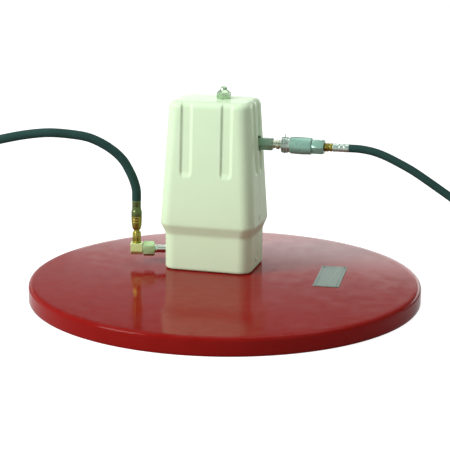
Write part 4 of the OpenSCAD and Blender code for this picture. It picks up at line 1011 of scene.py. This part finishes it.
@dataclass
class GreaseFittings:
    """Nipple, swivel nut, elbow, stem and ferrule of the grease line."""

    bore: float = 3.5
    stem_bore: float = 3.0
    inner_thread: Pair = (28.0, 44.0)
    tube: Pair = (45.5, 108.0)
    outer_thread: Pair = (109.0, 121.0)
    thread_r: float = 6.85
    nipple_r: float = 6.6
    nut_span: Pair = (112.0, 130.5)
    nut_flats: float = 22.0
    nut_bore: float = 6.9
    elbow_w: float = 19.6
    elbow_x: float = 141.5
    elbow_chamfer: float = 6.5
    elbow_edge: float = 0.9
    tail: Profile = ((121, 8.3), (121.3, 8.5), (123.9, 8.5), (124.2, 8.3), (124.3, 6.4))
    tail_inside: float = 1.0
    stem_hexagon: Pair = (0.1, 18.5)
    stem_flats: float = 13.5
    stem_foot: Profile = ((-7.9, 6.2), (0, 6.2), (0, 6.6))
    stem_neck: Profile = (
        (18.6, 5.4), (19.4, 4.9), (22.2, 4.9), (23.0, 6.0), (25.5, 7.3), (29, 7.9), (34, 8.4),
        (36, 8.6), (36.6, 8.25), (37.4, 8.6), (40.2, 8.7), (40.8, 8.35), (41.5, 8.75),
        (44.4, 8.8), (45, 8.6))
    ferrule: Pair = (45.0, 54.0)
    ferrule_r: float = 8.65
    ferrule_neck: Profile = (
        (54.2, 8.0), (57, 7.5), (58.6, 7.3), (60.5, 7.3), (61.0, 6.9), (61.6, 7.3), (64.0, 7.3),
        (64.5, 6.9), (65.1, 7.3), (67.5, 7.3), (68.0, 6.9), (68.6, 7.3), (70.6, 7.3), (71.0, 7.0))

    def nipple(self) -> None:
        """Build the outlet nipple with its threads."""
        rings = (threads(*self.inner_thread, self.thread_r)
                 + rounded(*self.tube, self.nipple_r, fillet=0.5)
                 + threads(*self.outer_thread, self.thread_r))
        nipple = Turned("outlet_nipple_tube", outlet_place(), rings, self.bore)
        nipple.put(PALETTE.mirror, "outlet_nipple")

    def nut(self) -> None:
        """Build the swivel nut, with a flat to the front."""
        base = outlet_place()
        turned = Place(base.origin, base.side, -base.across, base.along)
        rings = hexed(*self.nut_span, self.nut_flats, chamfer=1.8)
        nut = Turned("swivel_nut_hex", turned, rings, self.nut_bore)
        nut.put(PALETTE.green, "swivel_nut", body=Body.SWIVEL)

    def elbow(self) -> None:
        """Build the elbow's block with rounded edges, and its tail."""
        base = outlet_place().moved(self.elbow_x)
        half = self.elbow_w / 2
        low = half - self.elbow_chamfer
        line = [(-half, -half), (-half, half), (low, half), (half, low), (half, -low), (low, -half)]
        block = bmesh.new()
        ends = [[block.verts.new(base.at(x, y, z)) for x, y in line] for z in (-half, half)]
        for end in ends:
            block.faces.new(end)
        for k in range(len(line)):
            q = (k + 1) % len(line)
            block.faces.new((ends[0][k], ends[0][q], ends[1][q], ends[1][k]))
        bmesh.ops.recalc_face_normals(block, faces=block.faces)
        bmesh.ops.bevel(block, geom=block.edges[:], offset=self.elbow_edge * MM, segments=3,
                        profile=0.7, affect="EDGES")
        mesh = bpy.data.meshes.new("elbow_block")
        block.to_mesh(mesh)
        block.free()
        shade(mesh)
        mesh.materials.append(PALETTE.pale.material())
        settle(linked("elbow_block", mesh), PALETTE.pale, "elbow")
        rings = [*self.tail, (self.elbow_x - half + self.tail_inside, self.tail[-1][1])]
        tail = Turned("elbow_tail", outlet_place(), rings, self.bore)
        tail.put(PALETTE.zinc)

    def stem(self) -> None:
        """Build the brass stem and the olive ferrule above it."""
        base = outlet_place().moved(self.elbow_x)
        place = Place(base.origin + UP * (self.elbow_w / 2), base.along, base.side, UP)
        rings = [*self.stem_foot, *hexed(*self.stem_hexagon, self.stem_flats, chamfer=0.9),
                 *self.stem_neck]
        stem = Turned("grease_stem_shell", place, rings, self.stem_bore)
        stem.put(PALETTE.brass, "grease_stem")
        shell = rounded(*self.ferrule, self.ferrule_r, fillet=0.9)[:-2]
        rings = [*shell, *self.ferrule_neck]
        ferrule = Turned("grease_ferrule_sleeve", place, rings, self.stem_bore)
        ferrule.put(PALETTE.olive, "grease_ferrule")

    def build(self) -> None:
        """Build every fitting of the grease line."""
        self.nipple()
        self.nut()
        self.elbow()
        self.stem()


@dataclass
class AirFittings:
    """Adapter, quick coupler, stem and ferrule of the air line."""

    adapter_bore: float = 4.0
    adapter_tip: Pair = (23.2, 6.6)
    adapter_thread: Pair = (23.6, 36.0)
    adapter_hexagon: Pair = (57.1, 80.0)
    adapter_flats: float = 19.0
    adapter_neck: Profile = ((37, 6.6), (57, 6.6))
    thread_r: float = 6.85
    plug_bore: float = 3.5
    plug_tip: Profile = ((66, 3.6), (66, 6.3))
    plug_thread: Pair = (67.0, 83.0)
    plug_thread_r: float = 6.5
    plug_collar: Pair = (86.05, 91.0)
    plug_collar_r: float = 7.9
    plug_neck: Profile = ((83.5, 6.2), (83.6, 5.5), (86, 5.5))
    plug_nose: Profile = (
        (91.1, 5.5), (95.6, 5.5), (96, 6.6), (96.4, 7.0), (99.2, 7.0), (99.8, 6.5), (102.2, 6.5),
        (102.8, 7.0), (111.4, 7.0), (112, 6.6))
    body_mouth: Profile = ((96, 7.1), (96, 9.7), (96.3, 10.0), (109, 10.0), (128, 10.0),
                           (128, 12.0), (109, 12.0), (109, 13.0), (109.4, 13.35))
    barrel: Pair = (110.0, 143.0)
    barrel_steps: int = 12
    barrel_middle: float = 126.5
    barrel_reach: float = 17.5
    barrel_r: float = 14.0
    barrel_fall: float = 0.65
    body_hexagon: Pair = (144.3, 164.0)
    body_flats: float = 22.0
    body_waist: Profile = ((143.4, 13.3), (144, 12.6), (144, 11.2))
    body_bore: Profile = ((164, 6.5), (154, 6.5), (154, 3.5), (113, 3.5), (113, 7.1))
    sleeve_front: Profile = ((95, 10.25), (95, 12.4), (95.5, 12.9))
    sleeve_grooves: tuple[float, ...] = (97.0, 98.0, 102.2, 103.2)
    groove: Profile = ((-0.3, 12.95), (0.0, 12.6), (0.3, 12.95))
    sleeve_back: Profile = ((104.5, 12.9), (105, 12.4), (105, 11.7), (111, 11.7), (111, 10.25))
    stem_bore: float = 3.0
    stem_hexagon: Pair = (164.05, 172.0)
    stem_flats: float = 13.0
    stem_foot: Profile = ((154.2, 6.3), (164, 6.3))
    stem_neck: Profile = ((172.1, 5.8), (173, 5.8))
    stem_ring: Pair = (173.2, 177.4)
    stem_end: Profile = ((177.5, 6.0), (178, 6.0))
    ferrule: Pair = (178.1, 183.0)
    ferrule_r: float = 6.7
    ferrule_body: Profile = (
        (184.6, 6.65), (185.2, 6.4), (188.8, 6.4), (189.4, 6.65), (191.6, 6.65), (192.2, 6.4),
        (195.8, 6.4), (196.4, 6.65), (203.2, 6.7), (204, 6.3))

    def adapter(self) -> None:
        """Build the inlet adapter and the coupler's plug."""
        rings = [self.adapter_tip, *threads(*self.adapter_thread, self.thread_r),
                 *self.adapter_neck,
                 *hexed(*self.adapter_hexagon, self.adapter_flats, chamfer=1.4)]
        adapter = Turned("inlet_adapter_hex", inlet_place(), rings, self.adapter_bore)
        adapter.put(PALETTE.adapter, "inlet_adapter")
        rings = [*self.plug_tip, *threads(*self.plug_thread, self.plug_thread_r)[1:],
                 *self.plug_neck, *rounded(*self.plug_collar, self.plug_collar_r, fillet=0.6),
                 *self.plug_nose]
        plug = Turned("coupler_plug_nose", inlet_place(), rings, self.plug_bore)
        plug.put(PALETTE.zinc, "coupler_plug")

    def coupler(self) -> None:
        """Build the coupler's body and the sleeve that slides on it."""
        start, end = self.barrel
        rings = [*self.body_mouth]
        for k in range(self.barrel_steps + 1):
            z = start + (end - start) * k / self.barrel_steps
            share = ((z - self.barrel_middle) / self.barrel_reach) ** 2
            rings.append((z, self.barrel_r - self.barrel_fall * share))
        rings += [*self.body_waist, *hexed(*self.body_hexagon, self.body_flats, chamfer=1.8),
                  *self.body_bore]
        body = Turned("coupler_barrel", inlet_place(), rings, closed=True)
        body.put(PALETTE.teal, "coupler_body")
        grooves = [(z + past, r) for z in self.sleeve_grooves for past, r in self.groove]
        rings = [*self.sleeve_front, *grooves, *self.sleeve_back]
        sleeve = Turned("coupler_sleeve_ring", inlet_place(), rings, closed=True)
        sleeve.put(PALETTE.bright, "coupler_sleeve", body=Body.SLEEVE)

    def stem(self) -> None:
        """Build the brass stem, its ring and the bright ferrule."""
        rings = [*self.stem_foot, *hexed(*self.stem_hexagon, self.stem_flats, chamfer=0.9),
                 *self.stem_neck, *rounded(*self.stem_ring, self.ferrule_r, fillet=0.8),
                 *self.stem_end]
        stem = Turned("air_stem_shell", inlet_place(), rings, self.stem_bore)
        stem.put(PALETTE.brass, "air_stem")
        shell = rounded(*self.ferrule, self.ferrule_r, fillet=0.6)[:-1]
        rings = [*shell, *self.ferrule_body]
        ferrule = Turned("air_ferrule_sleeve", inlet_place(), rings, self.stem_bore)
        ferrule.put(PALETTE.bright, "air_ferrule")

    def build(self) -> None:
        """Build every fitting of the air line."""
        self.adapter()
        self.coupler()
        self.stem()


# Hoses


@dataclass
class Hose:
    """A hose along its visible route, then wound into a coil and held by a strap.

    The coil's radius is a share of the diameter, and it changes layers within part of a turn.
    """

    name: str
    d: float
    length: float
    route: tuple[Point, ...]
    base: Place
    nodes: tuple[str, str]
    pieces: tuple[str, str]
    share: float = 5.5
    gap: float = 0.6
    change: float = 0.5
    per_turn: int = 36
    per_span: int = 4

    def turns(self) -> float:
        """Give the number of turns that take what the route leaves of the length."""
        used = sum((Vector(b) - Vector(a)).length for a, b in zip(self.route, self.route[1:]))
        return (self.length - used - 2 * self.d) / (2 * math.pi * self.share * self.d)

    def coil(self) -> list[Vector]:
        """Work out the coil, in on the upper layer and out again on the lower one.

        Returns:
            Its points, in the hose's frame.
        """
        pitch = self.d + self.gap
        outer = self.share * self.d + pitch / 2
        turns = self.turns()
        half = turns / 2
        count = math.ceil(turns * self.per_turn)
        line = []
        for q in (turns * k / count for k in range(count + 1)):
            r = outer - pitch * (half - abs(half - q))
            drop = pitch * eased((q - half + self.change / 2) / self.change)
            angle = 2 * math.pi * q
            line.append(Vector((-r * math.cos(angle), -r * math.sin(angle), -drop)))
        line.append(line[-1] + (line[-1] - line[-2]).normalized() * self.d)
        centre = Vector(self.route[-1]) + Vector((outer, -self.d, 0))
        return [p + centre for p in line]

    def smooth(self) -> list[Vector]:
        """Put extra points on a smooth curve between those of the route.

        Returns:
            All the points, in the hose's frame.
        """
        given = [Vector(p) for p in (self.route[0], *self.route, self.route[-1])]
        line = []
        for a, b, c, d in zip(given, given[1:], given[2:], given[3:]):
            for t in (step / self.per_span for step in range(self.per_span)):
                line.append(0.5 * (2 * b + (c - a) * t + (2 * a - 5 * b + 4 * c - d) * t * t
                                   + (3 * b - a - 3 * c + d) * t ** 3))
        return line + [given[-1]]

    def build(self) -> None:
        line = [self.base.at(*p) for p in self.smooth() + self.coil()]
        curve = bpy.data.curves.new(self.name, "CURVE")
        curve.dimensions = "3D"
        curve.bevel_depth = self.d / 2 * MM
        curve.bevel_resolution = 6
        curve.use_fill_caps = True
        curve.twist_mode = "MINIMUM"
        spline = curve.splines.new("POLY")
        spline.points.add(len(line) - 1)
        for point, place in zip(spline.points, line):
            point.co = (*place, 1.0)
        spline.use_smooth = True
        curve.materials.append(PALETTE.hose.material())
        piece = linked(self.name, curve)
        settle(piece, PALETTE.hose, *self.nodes)


GREASE_ROUTE: tuple[Point, ...] = (
    (142, 0, 0), (142, 0, 15), (144, 0, 26), (148, 0, 38), (154, 0, 51), (162, 0, 65),
    (175, 0, 79), (195, 0, 93), (220, 0, 104), (250, 0, 109), (283, 0, 111), (317, 0, 108),
    (350, 0, 102), (388, 0, 93), (426, 0, 81), (465, 0, 66), (505, 0, 50), (547, 9, 32),
    (579, 31, 13), (600, 64, -6), (606, 102, -24), (598, 139, -42), (576, 170, -58),
    (544, 190, -72), (508, 196, -85), (472, 188, -95), (443, 167, -103), (424, 137, -108),
    (418, 106, -109), (418, 102, -109))
AIR_ROUTE: tuple[Point, ...] = (
    (204, 0, 0), (217, 0, 0), (230, 0, -1), (246, 0, -4), (264, 0, -10), (284, 0, -19),
    (306, 0, -30), (329, 0, -44), (354, 0, -60), (380, 0, -77), (407, 0, -94),
    (434, 0, -111), (460, 0, -127), (494, 8, -144), (521, 27, -158), (539, 56, -170),
    (545, 88, -180), (538, 121, -188), (519, 147, -195), (492, 165, -200), (460, 170, -204),
    (429, 163, -207), (403, 145, -208), (387, 119, -209), (382, 93, -209),
    (382, 89, -209))
# Where the grease hose's frame lies from the outlet's: along it, and up.
GREASE_SHIFT, GREASE_RISE = -0.5, 80.8


def hoses() -> list[Hose]:
    """Set up the hoses.

    Returns:
        The grease hose and the air hose.
    """
    out = outlet_place()
    start = out.origin + out.along * GREASE_SHIFT + UP * GREASE_RISE
    grease = Place(start, out.along, -out.side, UP)
    return [
        Hose("grease_hose_line", 15.0, 2130.0, GREASE_ROUTE, grease,
             ("grease_hose", "grease_hose_coil"), ("grease_hose_end", "grease_hose_tie")),
        Hose("air_hose_line", 13.0, 1800.0, AIR_ROUTE, Place(PUMP + INLET, RIGHT, BACK, UP),
             ("air_hose", "air_hose_coil"), ("air_hose_end", "air_hose_tie"))]


# The room


@dataclass(frozen=True)
class Lamp:
    """One soft lamp: its place, width, height and power."""

    name: str
    place: Point
    width: float
    height: float
    power: float


@dataclass
class Studio:
    """Camera, floor, background and lights; the sky has a grey for each height."""

    eye: Point = (0.5689, -2.1252, 0.649)
    heading: float = math.radians(15.0)
    pitch: float = math.radians(13.68)
    roll: float = 0.008
    lens: float = 114.48
    sensor: float = 36.0
    clip: Pair = (0.05, 50.0)
    ambient: float = 0.36
    sky: Profile = ((0.0, 1.0), (0.95, 0.95), (0.245, 1.0), (0.267, 0.7), (0.287, 0.45),
                    (0.31, 0.26), (0.6, 0.3))
    floor_rings: tuple[float, ...] = (0.292, 0.4, 1.0, 3.0, 12.0)
    floor_steps: int = 96
    floor_grey: float = 0.5
    floor_glow: float = 0.82
    mirrored_glow: float = 0.4
    aim: Point = (0.0, 0.05, 0.1)
    lamps: tuple[Lamp, ...] = (
        Lamp("key_light", (-2.2, -1.9, 1.9), 1.6, 1.6, 104.0),
        Lamp("fill_light", (1.9, -1.6, 1.3), 1.4, 1.4, 3.0),
        Lamp("top_light", (0.2, 0.9, 2.4), 1.8, 1.8, 14.0),
        Lamp("back_light", (0.35, 3.6, 0.64), 4.2, 0.7, 20.0))

    def camera(self) -> None:
        """Make the camera at the photograph's viewing angle."""
        right = Vector((math.cos(self.heading), math.sin(self.heading), 0))
        ahead = UP.cross(right) * math.cos(self.pitch) - UP * math.sin(self.pitch)
        up = right.cross(ahead)
        turned = right * math.cos(self.roll) + up * math.sin(self.roll)
        upright = up * math.cos(self.roll) - right * math.sin(self.roll)
        data = bpy.data.cameras.new("camera")
        data.lens, data.sensor_width = self.lens, self.sensor
        data.clip_start, data.clip_end = self.clip
        made = linked("camera", data)
        matrix = Matrix((turned, upright, -ahead)).transposed().to_4x4()
        matrix.translation = Vector(self.eye)
        made.matrix_world = matrix
        bpy.context.scene.camera = made

    def background(self) -> None:
        """Make the white background and the plain soft light round the object."""
        world = bpy.context.scene.world = bpy.data.worlds.new("studio")
        graph = emptied(world)
        soft = graph.add("ShaderNodeBackground", {0: (1, 1, 1), 1: self.ambient})
        height = graph.split(graph.add("ShaderNodeTexCoord").outputs["Generated"])["Z"]
        ramp = graph.add("ShaderNodeValToRGB", {0: height})
        stops = ramp.color_ramp.elements
        for k, (at, grey) in enumerate(self.sky):
            stop = stops[k] if k < 2 else stops.new(at)
            stop.position, stop.color = at, (grey, grey, grey, 1)
        path = graph.add("ShaderNodeLightPath").outputs
        colour = graph.blend(path["Is Camera Ray"], ramp.outputs[0], (1, 1, 1))
        white = graph.add("ShaderNodeBackground", {0: colour, 1: 1.0})
        seen = graph.math("MAXIMUM", path["Is Camera Ray"], path["Is Glossy Ray"])
        seen = graph.math("MAXIMUM", seen, path["Is Transmission Ray"])
        shown = graph.mixed(seen, soft.outputs[0], white.outputs[0])
        graph.add("ShaderNodeOutputWorld", {0: shown})

    def floor(self) -> None:
        """Make the white floor, with a round opening under the cover for the pump tube."""
        points = [p for r in self.floor_rings for p in circle(r, 0, self.floor_steps)]
        mesh = bpy.data.meshes.new("floor")
        mesh.from_pydata([tuple(p) for p in points], [],
                         bands(len(self.floor_rings), self.floor_steps))
        material = bpy.data.materials.new("floor_white")
        graph = emptied(material)
        diffuse = graph.add("ShaderNodeBsdfDiffuse", {0: (self.floor_grey,) * 3})
        path = graph.add("ShaderNodeLightPath").outputs
        mirrored = graph.math("MAXIMUM", path["Is Glossy Ray"], path["Is Transmission Ray"])
        shown = graph.math("MULTIPLY", path["Is Camera Ray"], self.floor_glow)
        mirrored = graph.math("MULTIPLY", mirrored, self.mirrored_glow)
        power = graph.math("MAXIMUM", shown, mirrored)
        glow = graph.add("ShaderNodeEmission", {0: (1, 1, 1), 1: power})
        both = graph.add("ShaderNodeAddShader", {0: diffuse.outputs[0], 1: glow.outputs[0]})
        clear = graph.add("ShaderNodeBsdfTransparent")
        upper = graph.mixed(graph.surface("Backfacing"), both.outputs[0], clear.outputs[0])
        graph.add("ShaderNodeOutputMaterial", {0: upper})
        mesh.materials.append(material)
        linked("floor", mesh)

    def lights(self) -> None:
        """Make the soft lamps, each aimed at the shroud."""
        for lamp in self.lamps:
            data = bpy.data.lights.new(lamp.name, "AREA")
            data.shape = "DISK" if lamp.width == lamp.height else "RECTANGLE"
            data.size, data.size_y, data.energy = lamp.width, lamp.height, lamp.power
            made = linked(lamp.name, data)
            made.location = lamp.place
            made.rotation_mode = "QUATERNION"
            ray = Vector(self.aim) - Vector(lamp.place)
            made.rotation_quaternion = ray.to_track_quat("-Z", "Y")

    def build(self) -> None:
        """Build the background, floor and lights."""
        self.background()
        self.floor()
        self.lights()
        bpy.context.scene.view_settings.view_transform = "Standard"


def dress_nodes() -> None:
    """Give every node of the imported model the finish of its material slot."""
    finishes = PALETTE.by_slot()
    slots = {part["node"]: part["material_slot"] for part in frame["record"]["subparts"]}
    for name, node in frame["nodes"].items():
        material = finishes[slots[name]].material()
        node.data.materials.clear()
        node.data.materials.append(material)
        LOG.info("%s has %s", name, material.name)


def main() -> None:
    """Build the scene in order."""
    logging.basicConfig(level=logging.INFO, format="%(message)s")
    studio = Studio()
    studio.camera()
    for hose in hoses():
        hose.build()
    dress_nodes()
    DrumCover().build()
    Shroud().build()
    TopNut().build()
    GreaseFittings().build()
    AirFittings().build()
    studio.build()


if __name__ == "__main__":
    main()
